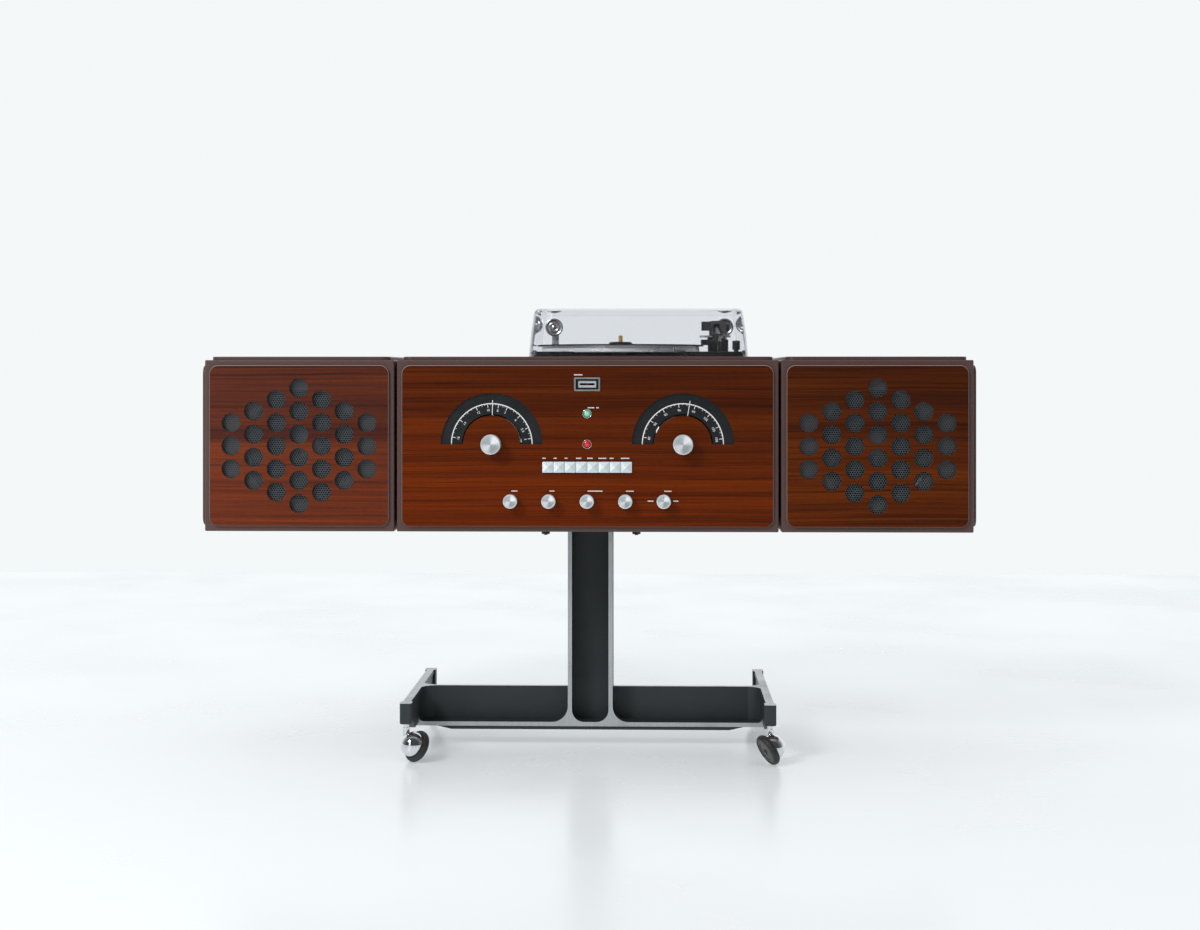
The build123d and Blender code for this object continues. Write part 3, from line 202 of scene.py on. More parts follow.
class Shader:
    """A material's node tree, with short calls for the nodes that the finishes use."""

    SOCKETS = {
        "base_color": "Base Color", "roughness": "Roughness", "metallic": "Metallic",
        "specular": "Specular IOR Level", "coat": "Coat Weight", "coat_roughness": "Coat Roughness",
        "ior": "IOR", "transmission": "Transmission Weight", "anisotropic": "Anisotropic",
        "rotation": "Anisotropic Rotation", "tangent": "Tangent", "alpha": "Alpha",
        "emission": "Emission Color", "emission_strength": "Emission Strength",
        "sheen": "Sheen Weight", "subsurface": "Subsurface Weight",
    }

    def __init__(self, name):
        self.material = bpy.data.materials.new(name)
        self.material.use_nodes = True
        self.tree = self.material.node_tree
        self.tree.nodes.clear()
        self.bsdf = self.tree.nodes.new("ShaderNodeBsdfPrincipled")
        out = self.tree.nodes.new("ShaderNodeOutputMaterial")
        self.tree.links.new(self.bsdf.outputs[0], out.inputs["Surface"])
        self.height = None

    def put(self, socket, value):
        """Link a socket or set its value."""
        if isinstance(value, bpy.types.NodeSocket):
            self.tree.links.new(value, socket)
        elif isinstance(value, tuple) and socket.type == "RGBA":
            socket.default_value = (*value, 1.0)
        else:
            socket.default_value = value

    def set(self, **values):
        """Set the shader's own sockets."""
        for key, value in values.items():
            self.put(self.bsdf.inputs[self.SOCKETS[key]], value)

    def coordinate(self):
        """The texture coordinate node."""
        return self.tree.nodes.new("ShaderNodeTexCoord")

    def split(self, socket):
        """X, Y and Z of a vector."""
        node = self.tree.nodes.new("ShaderNodeSeparateXYZ")
        self.put(node.inputs[0], socket)
        return node.outputs[0], node.outputs[1], node.outputs[2]

    def position(self):
        """X, Y and Z in the row frame at rest."""
        return self.split(self.coordinate().outputs["Object"])

    def normal(self):
        """X, Y and Z of the surface normal in the row frame at rest."""
        return self.split(self.coordinate().outputs["Normal"])

    def vector(self, x, y, z):
        """A vector from three values."""
        node = self.tree.nodes.new("ShaderNodeCombineXYZ")
        for socket, value in zip(node.inputs, (x, y, z)):
            self.put(socket, value)
        return node.outputs[0]

    def math(self, operation, a, b=None, c=None):
        """One step of arithmetic."""
        node = self.tree.nodes.new("ShaderNodeMath")
        node.operation = operation
        for socket, value in zip(node.inputs, (a, b, c)):
            if value is not None:
                self.put(socket, value)
        return node.outputs[0]

    def times(self, a, b):
        return self.math("MULTIPLY", a, b)

    def minus(self, a, b):
        return self.math("SUBTRACT", a, b)

    def size(self, a):
        return self.math("ABSOLUTE", a)

    def span(self, value, low, high, to_low=0.0, to_high=1.0):
        """A smooth step of value from low to high, between two results."""
        node = self.tree.nodes.new("ShaderNodeMapRange")
        node.interpolation_type = "SMOOTHSTEP"
        for socket, item in zip(node.inputs, (value, low, high, to_low, to_high)):
            self.put(socket, item)
        return node.outputs[0]

    def noise(self, vector, scale, detail=4.0, roughness=0.55, distortion=0.0):
        """Noise, 0 to 1."""
        node = self.tree.nodes.new("ShaderNodeTexNoise")
        self.put(node.inputs["Vector"], vector)
        for key, value in (("Scale", scale), ("Detail", detail), ("Roughness", roughness),
                           ("Distortion", distortion)):
            node.inputs[key].default_value = value
        return node.outputs["Fac"]

    def cells(self, vector, scale, feature="F1"):
        """Distance to the nearest cell point."""
        node = self.tree.nodes.new("ShaderNodeTexVoronoi")
        node.feature = feature
        self.put(node.inputs["Vector"], vector)
        node.inputs["Scale"].default_value = scale
        return node.outputs["Distance"]

    def ramp(self, value, stops):
        """A colour ramp."""
        node = self.tree.nodes.new("ShaderNodeValToRGB")
        self.put(node.inputs["Fac"], value)
        while len(node.color_ramp.elements) < len(stops):
            node.color_ramp.elements.new(0.5)
        for element, (place, color) in zip(node.color_ramp.elements, stops):
            element.position = place
            element.color = (*color, 1.0)
        return node.outputs["Color"]

    def mix(self, factor, a, b, blend="MIX"):
        """One colour over another."""
        node = self.tree.nodes.new("ShaderNodeMix")
        node.data_type = "RGBA"
        node.blend_type = blend
        self.put(node.inputs["Factor"], factor)
        self.put(node.inputs[6], a)
        self.put(node.inputs[7], b)
        return node.outputs[2]

    def blend(self, factor, a, b):
        """One number over another."""
        node = self.tree.nodes.new("ShaderNodeMix")
        self.put(node.inputs["Factor"], factor)
        self.put(node.inputs[2], a)
        self.put(node.inputs[3], b)
        return node.outputs[0]

    def bump(self, height, strength, distance):
        """Relief; a second call lies over the first."""
        node = self.tree.nodes.new("ShaderNodeBump")
        node.inputs["Strength"].default_value = strength
        node.inputs["Distance"].default_value = distance
        self.put(node.inputs["Height"], height)
        if self.height is not None:
            self.put(node.inputs["Normal"], self.height)
        self.height = node.outputs[0]
        self.put(self.bsdf.inputs["Normal"], self.height)

    def paint(self, *objects):
        """Give the finish to whole objects."""
        for item in objects:
            item.data.materials.clear()
            item.data.materials.append(self.material)


def both(s, a, b):
    """Where two masks are on."""
    return s.times(a, b)


def over(s, value, edge, soft=0.0002):
    """Mask: on where the value is over an edge."""
    return s.span(value, edge - soft, edge + soft)


def near_plane(s, value, place, reach):
    """Mask: on where the value lies within reach of a place."""
    offset = s.size(s.minus(value, place))
    return s.span(offset, reach, reach * 1.2, 1.0, 0.0)


def radius_about(s, a, b, at_a, at_b):
    """Distance from an axis."""
    return s.math("SQRT", s.math("ADD", s.math("POWER", s.minus(a, at_a), 2.0),
                                 s.math("POWER", s.minus(b, at_b), 2.0)))


# ---------------------------------------------------------------- finishes: wood and lacquer


def rosewood_color(s, along, across, seed, wood_and_light_tint=(1.0, 1.0, 1.0)):
    """Red-brown rosewood: broad bands, fine dark lines and short pores, all drawn out along the grain."""
    waver = s.noise(s.vector(s.times(along, 1.6), seed, s.times(across, 2.0)), 1.0, 2.0)
    lifted = s.math("MULTIPLY_ADD", waver, 0.016, across)
    bands = s.noise(s.vector(s.times(along, 0.7), seed, s.times(lifted, 34.0)), 1.0, 6.0, 0.60)
    lines = s.noise(s.vector(s.times(along, 1.8), seed * 2.0, s.times(lifted, 300.0)), 1.0, 5.0, 0.70)
    fibres = s.noise(s.vector(s.times(along, 10.0), seed * 3.0, s.times(lifted, 1100.0)), 1.0, 3.0, 0.6)
    pores = s.noise(s.vector(s.times(along, 75.0), seed * 4.0, s.times(lifted, 2000.0)), 1.0, 1.0)
    color = s.ramp(bands, [
        (0.24, (0.075, 0.0140, 0.0018)), (0.42, (0.135, 0.0215, 0.0014)),
        (0.58, (0.190, 0.0300, 0.0014)), (0.78, (0.290, 0.0490, 0.0018)),
    ])
    streak = s.ramp(lines, [(0.36, (1, 1, 1)), (0.50, (0, 0, 0))])
    color = s.mix(s.times(streak, 0.66), color, (0.030, 0.0070, 0.0020))
    warm = s.ramp(lines, [(0.55, (0, 0, 0)), (0.72, (1, 1, 1))])
    color = s.mix(s.times(warm, 0.34), color, (0.360, 0.0660, 0.0025))
    color = s.mix(0.6, color, s.mix(fibres, (0.52, 0.48, 0.46), (1.48, 1.48, 1.48)), "MULTIPLY")
    dashes = s.ramp(pores, [(0.30, (1, 1, 1)), (0.40, (0, 0, 0))])
    color = s.mix(s.times(dashes, 0.45), color, (0.012, 0.0040, 0.0030))
    return s.mix(1.0, color, wood_and_light_tint, "MULTIPLY"), dashes, fibres


def lacquer_color(s, x, y, z):
    """Dull dark brown lacquer with slow, faint clouds."""
    clouds = s.noise(s.vector(x, y, z), 9.0, 4.0)
    return s.mix(clouds, (0.072, 0.036, 0.032), (0.100, 0.052, 0.046))


def front_veneer(name, seed, low_wood_and_light_tint, high_wood_and_light_tint, veil):
    """A veneered front: rosewood on its face, brown lacquer on its rounded rim and cut edges; a painted tint of
    light and shade lies across the face and a painted highlight along the rim.
    """
    s = Shader(name)
    x, y, z = s.position()
    _, ny, nz = s.normal()
    low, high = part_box(name.replace("_veneer", ""))
    # wood tone mixed with painted light: a diagonal tint, brighter to the lower left, darker and greyer (painted
    # shade and painted reflection) to the upper right
    slope = s.math("MULTIPLY_ADD", s.minus(x, low.x), 0.32 * (high.z - low.z) / (high.x - low.x), z)
    wood_and_light_tint = s.mix(s.span(slope, low.z, high.z + 0.2 * (high.z - low.z)), low_wood_and_light_tint, high_wood_and_light_tint)
    wood, dashes, fibres = rosewood_color(s, x, z, seed, wood_and_light_tint)
    rim = lacquer_color(s, x, y, z)
    flat = both(s, over(s, s.times(ny, -1.0), 0.93, 0.03), over(s, s.minus(0.0, y), -FACE - 0.0006, 0.0003))
    # painted highlight: a lighter band on the rounded rim, brightest where it faces up
    bend = s.size(ny)
    edge = both(s, s.span(bend, 0.25, 0.50), s.span(bend, 0.80, 0.97, 1.0, 0.0))
    rim = s.mix(s.times(edge, s.span(nz, -0.6, 0.5, 0.25, 0.85)), rim, (0.30, 0.235, 0.225))
    s.set(base_color=s.mix(flat, rim, wood),
          roughness=s.blend(flat, 0.22, s.span(fibres, 0.3, 0.7, 0.24, 0.34)),
          specular=0.05, coat=veil, coat_roughness=0.30)
    s.bump(s.minus(fibres, s.times(dashes, 0.8)), 0.08, 0.0003)
    return s


def cabinet_finish(name, seed, outer_side):
    """Brown lacquered case with rosewood on its raised top panel and, on a speaker, its raised side."""
    s = Shader(name)
    x, y, z = s.position()
    nx, _, nz = s.normal()
    case = lacquer_color(s, x, y, z)
    top_wood, _, top_fibres = rosewood_color(s, x, y, seed)
    top = both(s, over(s, nz, 0.93, 0.03), over(s, z, TILE_TOP - 0.0006, 0.0003))
    color = s.mix(top, case, top_wood)
    flat = top
    if outer_side:
        side_wood = rosewood_color(s, y, z, seed + 5.0)[0]
        edge = max(abs(cad_box[0][0]), abs(cad_box[1][0]))
        out = s.times(x, float(outer_side))
        side = both(s, over(s, s.times(nx, float(outer_side)), 0.93, 0.03), over(s, out, edge - 0.0006, 0.0003))
        color = s.mix(side, color, side_wood)
        flat = s.math("MAXIMUM", top, side)
    grain = s.noise(s.vector(s.times(x, 60.0), s.times(y, 60.0), s.times(z, 60.0)), 1.0, 5.0)
    s.set(base_color=color, roughness=s.blend(flat, s.span(grain, 0.3, 0.7, 0.36, 0.46), 0.36),
          specular=0.42, coat=0.15, coat_roughness=0.22)
    s.bump(grain, 0.06, 0.0006)
    s.bump(both(s, flat, top_fibres), 0.08, 0.0003)
    return s


def hardboard():
    """Dark pressed board with a woven back, as rear covers have."""
    s = Shader("hardboard")
    x, y, z = s.position()
    weave = both(s, s.math("SINE", s.times(x, 3800.0)), s.math("SINE", s.times(z, 3800.0)))
    flecks = s.noise(s.vector(x, y, z), 420.0, 4.0, 0.7)
    clouds = s.noise(s.vector(x, y, z), 14.0, 4.0)
    color = s.mix(flecks, (0.030, 0.017, 0.010), (0.085, 0.050, 0.030))
    s.set(base_color=s.mix(s.times(clouds, 0.5), color, (0.040, 0.024, 0.016)),
          roughness=s.span(flecks, 0.3, 0.7, 0.62, 0.80), specular=0.3)
    s.bump(weave, 0.20, 0.0003)
    return s


# ---------------------------------------------------------------- finishes: metals


def cast_stand():
    """Black stoved paint with satin machined edges on the front, the back and the top strips."""
    s = Shader("cast_stand")
    x, y, z = s.position()
    _, ny, nz = s.normal()
    half_depth = 0.045
    off_mid = s.size(s.minus(y, STAND_MID))
    faces = both(s, over(s, s.size(ny), 0.93, 0.03), near_plane(s, off_mid, half_depth, 0.0004))
    table = over(s, z, FLOOR_OF_BOX - 0.0085)
    strip_top = max(v.co.z for v in NODES["stand_casting"].data.vertices if abs(v.co.x) > 0.27)
    tops = both(s, over(s, nz, 0.93, 0.03), near_plane(s, z, strip_top, 0.0004))
    bare = s.times(s.math("MAXIMUM", faces, tops), s.minus(1.0, table))
    lines = s.noise(s.vector(s.times(x, 700.0), s.times(y, 12.0), s.times(z, 14.0)), 1.0, 3.0)
    stains = s.noise(s.vector(x, y, z), 16.0, 5.0)
    metal = s.mix(lines, (0.40, 0.42, 0.43), (0.62, 0.64, 0.655))
    metal = s.mix(s.ramp(stains, [(0.55, (0, 0, 0)), (0.75, (1, 1, 1))]), metal, (0.36, 0.38, 0.39))
    peel = s.noise(s.vector(x, y, z), 900.0, 2.0)
    dust = s.noise(s.vector(x, y, z), 30.0, 6.0)
    paint = s.mix(dust, (0.0125, 0.0170, 0.0195), (0.024, 0.031, 0.034))
    # the paint is paler on the low parts, below about the tops of the foot strips
    paint = s.mix(s.span(z, strip_top - 0.02, strip_top + 0.05, 1.0, 0.0), paint,
                  s.mix(dust, (0.019, 0.026, 0.029), (0.033, 0.042, 0.046)))
    s.set(base_color=s.mix(bare, paint, metal), metallic=s.times(bare, 0.6),
          roughness=s.blend(bare, s.span(dust, 0.3, 0.7, 0.40, 0.52), s.span(stains, 0.3, 0.7, 0.28, 0.42)),
          specular=0.45)
    s.bump(s.blend(bare, peel, lines), 0.10, 0.0004)
    return s


def plain_metal(name, dark, light, roughness, scale=(300.0, 300.0, 12.0), relief=0.08):
    """Metal with fine lines and slow stains."""
    s = Shader(name)
    x, y, z = s.position()
    lines = s.noise(s.vector(s.times(x, scale[0]), s.times(y, scale[1]), s.times(z, scale[2])), 1.0, 3.0)
    stains = s.noise(s.vector(x, y, z), 25.0, 4.0)
    s.set(base_color=s.mix(lines, dark, light), metallic=1.0,
          roughness=s.span(stains, 0.3, 0.7, roughness * 0.8, roughness * 1.25))
    s.bump(lines, relief, 0.0003)
    return s


def chrome(name="chrome"):
    """Polished plating with the faintest haze."""
    s = Shader(name)
    x, y, z = s.position()
    haze = s.noise(s.vector(x, y, z), 60.0, 5.0)
    s.set(base_color=s.mix(haze, (0.78, 0.79, 0.81), (0.88, 0.89, 0.90)), metallic=1.0,
          roughness=s.span(haze, 0.35, 0.75, 0.035, 0.11))
    s.bump(haze, 0.02, 0.0005)
    return s


def spun_face(name, axis_x, axis_z):
    """Spun aluminium: circular turning lines, a radial stretch of the highlights, and a painted bow-tie highlight
    with painted shade between its wedges on the face.
    """
    s = Shader(name)
    x, _, z = s.position()
    _, ny, _ = s.normal()
    r = radius_about(s, x, z, axis_x, axis_z)
    dx = s.minus(x, axis_x)
    dz = s.minus(z, axis_z)
    rings = s.noise(s.vector(s.times(r, 2200.0), 0.0, 0.0), 1.0, 2.0, 0.6)
    # painted highlight: two bright wedges across the face, painted darker between them
    turn = s.math("ARCTAN2", dz, dx)
    painted_bowtie_highlight = s.math("COSINE", s.times(s.minus(turn, 0.72), 2.0))
    face = over(s, s.times(ny, -1.0), 0.80, 0.1)
    metal = s.mix(rings, (0.74, 0.80, 0.83), (0.86, 0.92, 0.95))
    lit = s.mix(s.span(painted_bowtie_highlight, -0.6, 0.95), (0.40, 0.44, 0.465), (1.0, 1.0, 1.0))
    s.set(base_color=s.mix(s.times(face, 0.75), metal, lit), metallic=0.55,
          roughness=s.span(rings, 0.3, 0.7, 0.24, 0.32), anisotropic=0.75,
          tangent=s.vector(s.times(dz, -1.0), 0.0, dx))
    s.bump(rings, 0.06, 0.0002)
    return s


def platter_metal():
    """Turned platter rim with a brass record spindle."""
    s = Shader("platter_metal")
    x, y, z = s.position()
    r = radius_about(s, x, y, SPINDLE.x, SPINDLE.y)
    rings = s.noise(s.vector(s.times(r, 1500.0), 0.0, s.times(z, 2600.0)), 1.0, 3.0)
    stains = s.noise(s.vector(x, y, z), 30.0, 4.0)
    metal = s.mix(rings, (0.82, 0.83, 0.85), (0.94, 0.95, 0.97))
    brass = s.mix(rings, (0.42, 0.24, 0.09), (0.72, 0.46, 0.20))
    pin = both(s, s.span(r, 0.0045, 0.0050, 1.0, 0.0), over(s, z, SPINDLE.z + 0.001))
    s.set(base_color=s.mix(pin, metal, brass), metallic=0.2,
          roughness=s.span(stains, 0.3, 0.7, 0.24, 0.36))
    s.bump(rings, 0.10, 0.0002)
    return s


# ---------------------------------------------------------------- finishes: plastics, rubber, glass


def plastic(name, dark, light, roughness, grain=900.0, relief=0.06, specular=0.45):
    """Moulded plastic or paint with a fine grain and faint dust."""
    s = Shader(name)
    x, y, z = s.position()
    fine = s.noise(s.vector(x, y, z), grain, 3.0)
    slow = s.noise(s.vector(x, y, z), 40.0, 5.0)
    s.set(base_color=s.mix(slow, dark, light), roughness=s.span(slow, 0.3, 0.7, roughness * 0.85, roughness * 1.2),
          specular=specular)
    s.bump(fine, relief, 0.0003)
    return s


def rubber_mat():
    """Black ribbed rubber with dust in it."""
    s = Shader("rubber_mat")
    x, y, z = s.position()
    dust = s.noise(s.vector(x, y, z), 160.0, 6.0, 0.7)
    r = radius_about(s, x, y, SPINDLE.x, SPINDLE.y)
    ribs = s.math("SINE", s.times(r, 3400.0))
    s.set(base_color=s.mix(dust, (0.011, 0.011, 0.012), (0.028, 0.028, 0.029)),
          roughness=s.span(dust, 0.3, 0.7, 0.55, 0.75), specular=0.35)
    s.bump(ribs, 0.25, 0.0003)
    return s


def wheel_finish(name, center, axis):
    """Caster wheel: hard rubber crown, moulded disc with fine rings."""
    s = Shader(name)
    x, y, z = s.position()
    rel = [s.minus(value, place) for value, place in zip((x, y, z), center)]
    along = s.math("ADD", s.math("ADD", s.times(rel[0], axis[0]), s.times(rel[1], axis[1])),
                   s.times(rel[2], axis[2]))
    square = s.math("ADD", s.math("ADD", s.math("POWER", rel[0], 2.0), s.math("POWER", rel[1], 2.0)),
                    s.math("POWER", rel[2], 2.0))
    r = s.math("SQRT", s.math("MAXIMUM", s.minus(square, s.math("POWER", along, 2.0)), 0.0))
    tyre = over(s, r, 0.0205, 0.0002)
    rings = s.math("SINE", s.times(r, 5200.0))
    scuff = s.noise(s.vector(x, y, z), 260.0, 6.0, 0.7)
    worn = s.ramp(scuff, [(0.5, (0, 0, 0)), (0.8, (1, 1, 1))])
    disc = s.mix(scuff, (0.030, 0.029, 0.028), (0.060, 0.058, 0.055))
    crown = s.mix(s.times(worn, 0.6), (0.016, 0.016, 0.016), (0.085, 0.082, 0.078))
    s.set(base_color=s.mix(tyre, disc, crown),
          roughness=s.blend(tyre, 0.34, s.span(scuff, 0.3, 0.7, 0.42, 0.62)), specular=0.5)
    s.bump(s.times(rings, s.minus(1.0, tyre)), 0.18, 0.0002)
    s.bump(scuff, 0.05, 0.0004)
    return s


def clear_cover():
    """Thin clear acrylic: it hardly bends the view, and carries a painted grey-blue shade where it is seen edge
    on.
    """
    s = Shader("clear_acrylic")
    x, y, z = s.position()
    smears = s.noise(s.vector(x, y, z), 18.0, 5.0)
    # painted shade: a grey-blue colour where the sheet is seen edge on stands in for its reflections
    weight = s.tree.nodes.new("ShaderNodeLayerWeight")
    weight.inputs["Blend"].default_value = 0.5
    edge = s.span(weight.outputs["Facing"], 0.45, 0.97)
    haze = s.mix(smears, (0.955, 0.960, 0.975), (0.975, 0.980, 0.990))
    s.set(base_color=s.mix(edge, haze, (0.50, 0.54, 0.61)), transmission=1.0, ior=1.015,
          roughness=0.0, coat=1.0, coat_roughness=0.02)
    tree = s.tree
    out = next(n for n in tree.nodes if n.type == "OUTPUT_MATERIAL")
    clear = tree.nodes.new("ShaderNodeBsdfTransparent")
    clear.inputs["Color"].default_value = (0.95, 0.96, 0.97, 1)
    path = tree.nodes.new("ShaderNodeLightPath")
    mix = tree.nodes.new("ShaderNodeMixShader")
    tree.links.new(path.outputs["Is Shadow Ray"], mix.inputs[0])
    tree.links.new(s.bsdf.outputs[0], mix.inputs[1])
    tree.links.new(clear.outputs[0], mix.inputs[2])
    tree.links.new(mix.outputs[0], out.inputs["Surface"])
    return s


def lamp_lens():
    """One green lens and one red lens, lit softly from inside."""
    s = Shader("lamp_lens")
    x, _, z = s.position()
    low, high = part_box("indicator_lamps")
    upper = over(s, z, (low.z + high.z) / 2)
    at_z = s.blend(upper, low.z + 0.0062, high.z - 0.0062)
    r = s.math("SQRT", s.math("ADD", s.math("POWER", x, 2.0), s.math("POWER", s.minus(z, at_z), 2.0)))
    heart = s.span(r, 0.0, 0.0056, 1.0, 0.0)
    facets = s.cells(s.vector(s.times(x, 1.0), 0.0, z), 620.0)
    color = s.mix(upper, s.mix(heart, (0.40, 0.006, 0.006), (0.74, 0.030, 0.024)),
                  s.mix(heart, (0.10, 0.40, 0.24), (0.36, 0.70, 0.50)))
    s.set(base_color=color, roughness=0.16, coat=0.6, coat_roughness=0.05,
          emission=color, emission_strength=0.06)
    s.bump(facets, 0.25, 0.0006)
    return s


# ---------------------------------------------------------------- finishes that follow one node's parts


def meter_finish():
    """Grey bezel, black well and silver face plate of the tuning meter."""
    s = Shader("meter_finish")
    x, y, z = s.position()
    _, ny, _ = s.normal()
    low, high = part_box("tuning_meter")
    at_z = (low.z + high.z) / 2
    across = s.size(x)
    up = s.size(s.minus(z, at_z))
    outside = s.math("MAXIMUM", over(s, across, 0.0180), over(s, up, 0.0083))
    plate = both(s, over(s, y, FACE + 0.0015), s.span(y, FACE + 0.0045, FACE + 0.0047, 1.0, 0.0))
    lines = s.noise(s.vector(s.times(x, 40.0), 0.0, s.times(z, 2200.0)), 1.0, 2.0)
    bezel = s.mix(lines, (0.22, 0.24, 0.26), (0.36, 0.38, 0.40))
    silver = s.mix(lines, (0.36, 0.40, 0.42), (0.56, 0.60, 0.61))
    inside = both(s, s.span(across, 0.0138, 0.0140, 1.0, 0.0), s.span(up, 0.0051, 0.0053, 1.0, 0.0))
    front_face = both(s, over(s, s.times(ny, -1.0), 0.9, 0.05), inside)
    inner = s.mix(both(s, plate, front_face), (0.010, 0.010, 0.012), silver)
    s.set(base_color=s.mix(outside, inner, bezel), metallic=s.times(outside, 0.5), roughness=0.34)
    s.bump(lines, 0.08, 0.0002)
    return s


def fixings_finish():
    """Dark brown thumb nuts below the console, plated studs and screws above."""
    s = Shader("fixings_finish")
    x, y, z = s.position()
    below = s.span(z, FLOOR_OF_BOX - 0.0001, FLOOR_OF_BOX + 0.0001, 1.0, 0.0)
    nut_x = max(abs(value.co.x) for value in NODES["fixings"].data.vertices if value.co.z < FLOOR_OF_BOX) - 0.007
    turn = s.math("ARCTAN2", s.minus(y, STAND_MID), s.minus(s.size(x), nut_x))
    knurl = s.times(s.math("SINE", s.times(turn, 36.0)), below)
    wear = s.noise(s.vector(x, y, z), 300.0, 4.0)
    steel = s.mix(wear, (0.42, 0.42, 0.43), (0.66, 0.66, 0.67))
    brown = s.mix(wear, (0.030, 0.016, 0.012), (0.060, 0.034, 0.026))
    s.set(base_color=s.mix(below, steel, brown), metallic=s.minus(1.0, below),
          roughness=s.span(wear, 0.3, 0.7, 0.28, 0.45))
    s.bump(knurl, 0.5, 0.0005)
    return s


def chassis_finish():
    """Inside the console: zinc tray and cans, brown boards, dark heat sink."""
    s = Shader("chassis_finish")
    x, y, z = s.position()
    low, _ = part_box("tuner_amplifier")
    board = low.z + 0.020
    is_board = near_plane(s, z, board + 0.0008, 0.0012)
    is_tray = s.span(z, board - 0.002, board - 0.0015, 1.0, 0.0)
    wear = s.noise(s.vector(x, y, z), 180.0, 5.0)
    parts_seed = s.cells(s.vector(x, y, 0.0), 40.0)
    zinc = s.mix(wear, (0.38, 0.39, 0.37), (0.60, 0.61, 0.58))
    brown = s.mix(wear, (0.16, 0.075, 0.020), (0.24, 0.12, 0.035))
    can = s.ramp(parts_seed, [(0.2, (0.62, 0.62, 0.60)), (0.5, (0.05, 0.06, 0.10)), (0.8, (0.45, 0.46, 0.44))])
    color = s.mix(is_tray, s.mix(is_board, can, brown), zinc)
    iron = both(s, over(s, x, 0.124, 0.0005), over(s, z, low.z + 0.0096, 0.0002))
    leaves = s.times(s.math("SINE", s.times(y, 9000.0)), iron)
    color = s.mix(iron, color, s.mix(wear, (0.10, 0.085, 0.078), (0.24, 0.215, 0.20)))
    s.set(base_color=color, metallic=s.times(is_tray, 0.9), roughness=s.span(wear, 0.3, 0.7, 0.3, 0.5))
    s.bump(wear, 0.08, 0.0004)
    s.bump(leaves, 0.25, 0.0003)
    return s


def arm_base_finish():
    """Black arm pedestal whose thin top plate is plain metal at its edge."""
    s = Shader("arm_base_finish")
    x, y, z = s.position()
    _, _, nz = s.normal()
    plate_top = ARM.z - 0.013
    thin, upright = near_plane(s, z, plate_top - 0.0015, 0.0016), s.span(s.size(nz), 0.4, 0.6, 1.0, 0.0)
    edge = both(s, thin, upright)
    grain = s.noise(s.vector(x, y, z), 900.0, 3.0)
    dust = s.noise(s.vector(x, y, z), 50.0, 5.0)
    s.set(base_color=s.mix(edge, s.mix(dust, (0.011, 0.011, 0.012), (0.026, 0.026, 0.028)), (0.55, 0.56, 0.57)),
          metallic=edge, roughness=s.span(dust, 0.3, 0.7, 0.36, 0.50), specular=0.45)
    s.bump(grain, 0.08, 0.0003)
    return s


def driver_finish(center):
    """Loudspeaker: grey paper cone with faint ribs, steel basket and magnet."""
    s = Shader("driver_" + ("left" if center.x < 0 else "right"))
    x, y, z = s.position()
    r = radius_about(s, x, z, center.x, center.z)
    cone = both(s, s.span(r, 0.086, 0.087, 1.0, 0.0), s.span(y, FRONT + 0.070, FRONT + 0.080, 1.0, 0.0))
    ribs = s.math("SINE", s.times(r, 1400.0))
    fibre = s.noise(s.vector(x, y, z), 500.0, 5.0)
    s.set(base_color=s.mix(cone, s.mix(fibre, (0.20, 0.20, 0.20), (0.36, 0.36, 0.36)),
                           s.mix(fibre, (0.020, 0.020, 0.022), (0.045, 0.045, 0.047))),
          metallic=s.minus(1.0, cone), roughness=s.blend(cone, 0.42, 0.85))
    s.bump(s.times(ribs, cone), 0.3, 0.0006)
    s.bump(fibre, 0.1, 0.0004)
    return s


def socket_finish():
    """Black phenolic socket panel, glossier on the socket rings."""
    s = Shader("socket_finish")
    x, y, z = s.position()
    ring = over(s, y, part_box("console_back_panel")[1].y + 0.0003)
    grain = s.noise(s.vector(x, y, z), 500.0, 4.0)
    s.set(base_color=s.mix(ring, s.mix(grain, (0.020, 0.017, 0.015), (0.040, 0.034, 0.030)),
                           s.mix(grain, (0.34, 0.33, 0.31), (0.52, 0.51, 0.48))),
          metallic=s.times(ring, 0.7), roughness=s.span(grain, 0.3, 0.7, 0.35, 0.5), specular=0.45)
    s.bump(grain, 0.08, 0.0003)
    return s


def inlet_finish():
    """Black moulded mains inlet with plated pins."""
    s = Shader("inlet_finish")
    x, y, z = s.position()
    low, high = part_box("mains_inlet")
    at = (low + high) / 2
    off = s.size(s.minus(x, at.x))
    pin_x, pin_r = 0.006, 0.0015
    around = s.span(radius_about(s, off, z, pin_x, at.z), pin_r, pin_r + 0.0001, 1.0, 0.0)
    pin = both(s, around, over(s, y, low.y + 0.0012))
    grain = s.noise(s.vector(x, y, z), 700.0, 3.0)
    s.set(base_color=s.mix(pin, s.mix(grain, (0.012, 0.011, 0.011), (0.026, 0.024, 0.023)), (0.62, 0.58, 0.46)),
          metallic=pin, roughness=s.span(grain, 0.3, 0.7, 0.26, 0.38))
    s.bump(grain, 0.06, 0.0003)
    return s


def leaf_finish():
    """Plated hinge leaves whose round clamp discs are turned in rings."""
    s = Shader("hinge_steel")
    x, y, z = s.position()
    low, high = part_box("cover_leaves")
    disc = 0.013
    ring_z = high.z - 0.0103
    off = s.size(s.minus(x, (low.x + high.x) / 2))
    r = radius_about(s, off, z, (high.x - low.x) / 2 - disc, ring_z)
    rings = s.math("SINE", s.times(r, 2300.0))
    stains = s.noise(s.vector(x, y, z), 60.0, 4.0)
    s.set(base_color=s.mix(stains, (0.46, 0.47, 0.48), (0.70, 0.71, 0.72)), metallic=0.75,
          roughness=s.span(stains, 0.3, 0.7, 0.20, 0.32))
    s.bump(rings, 0.35, 0.0003)
    return s


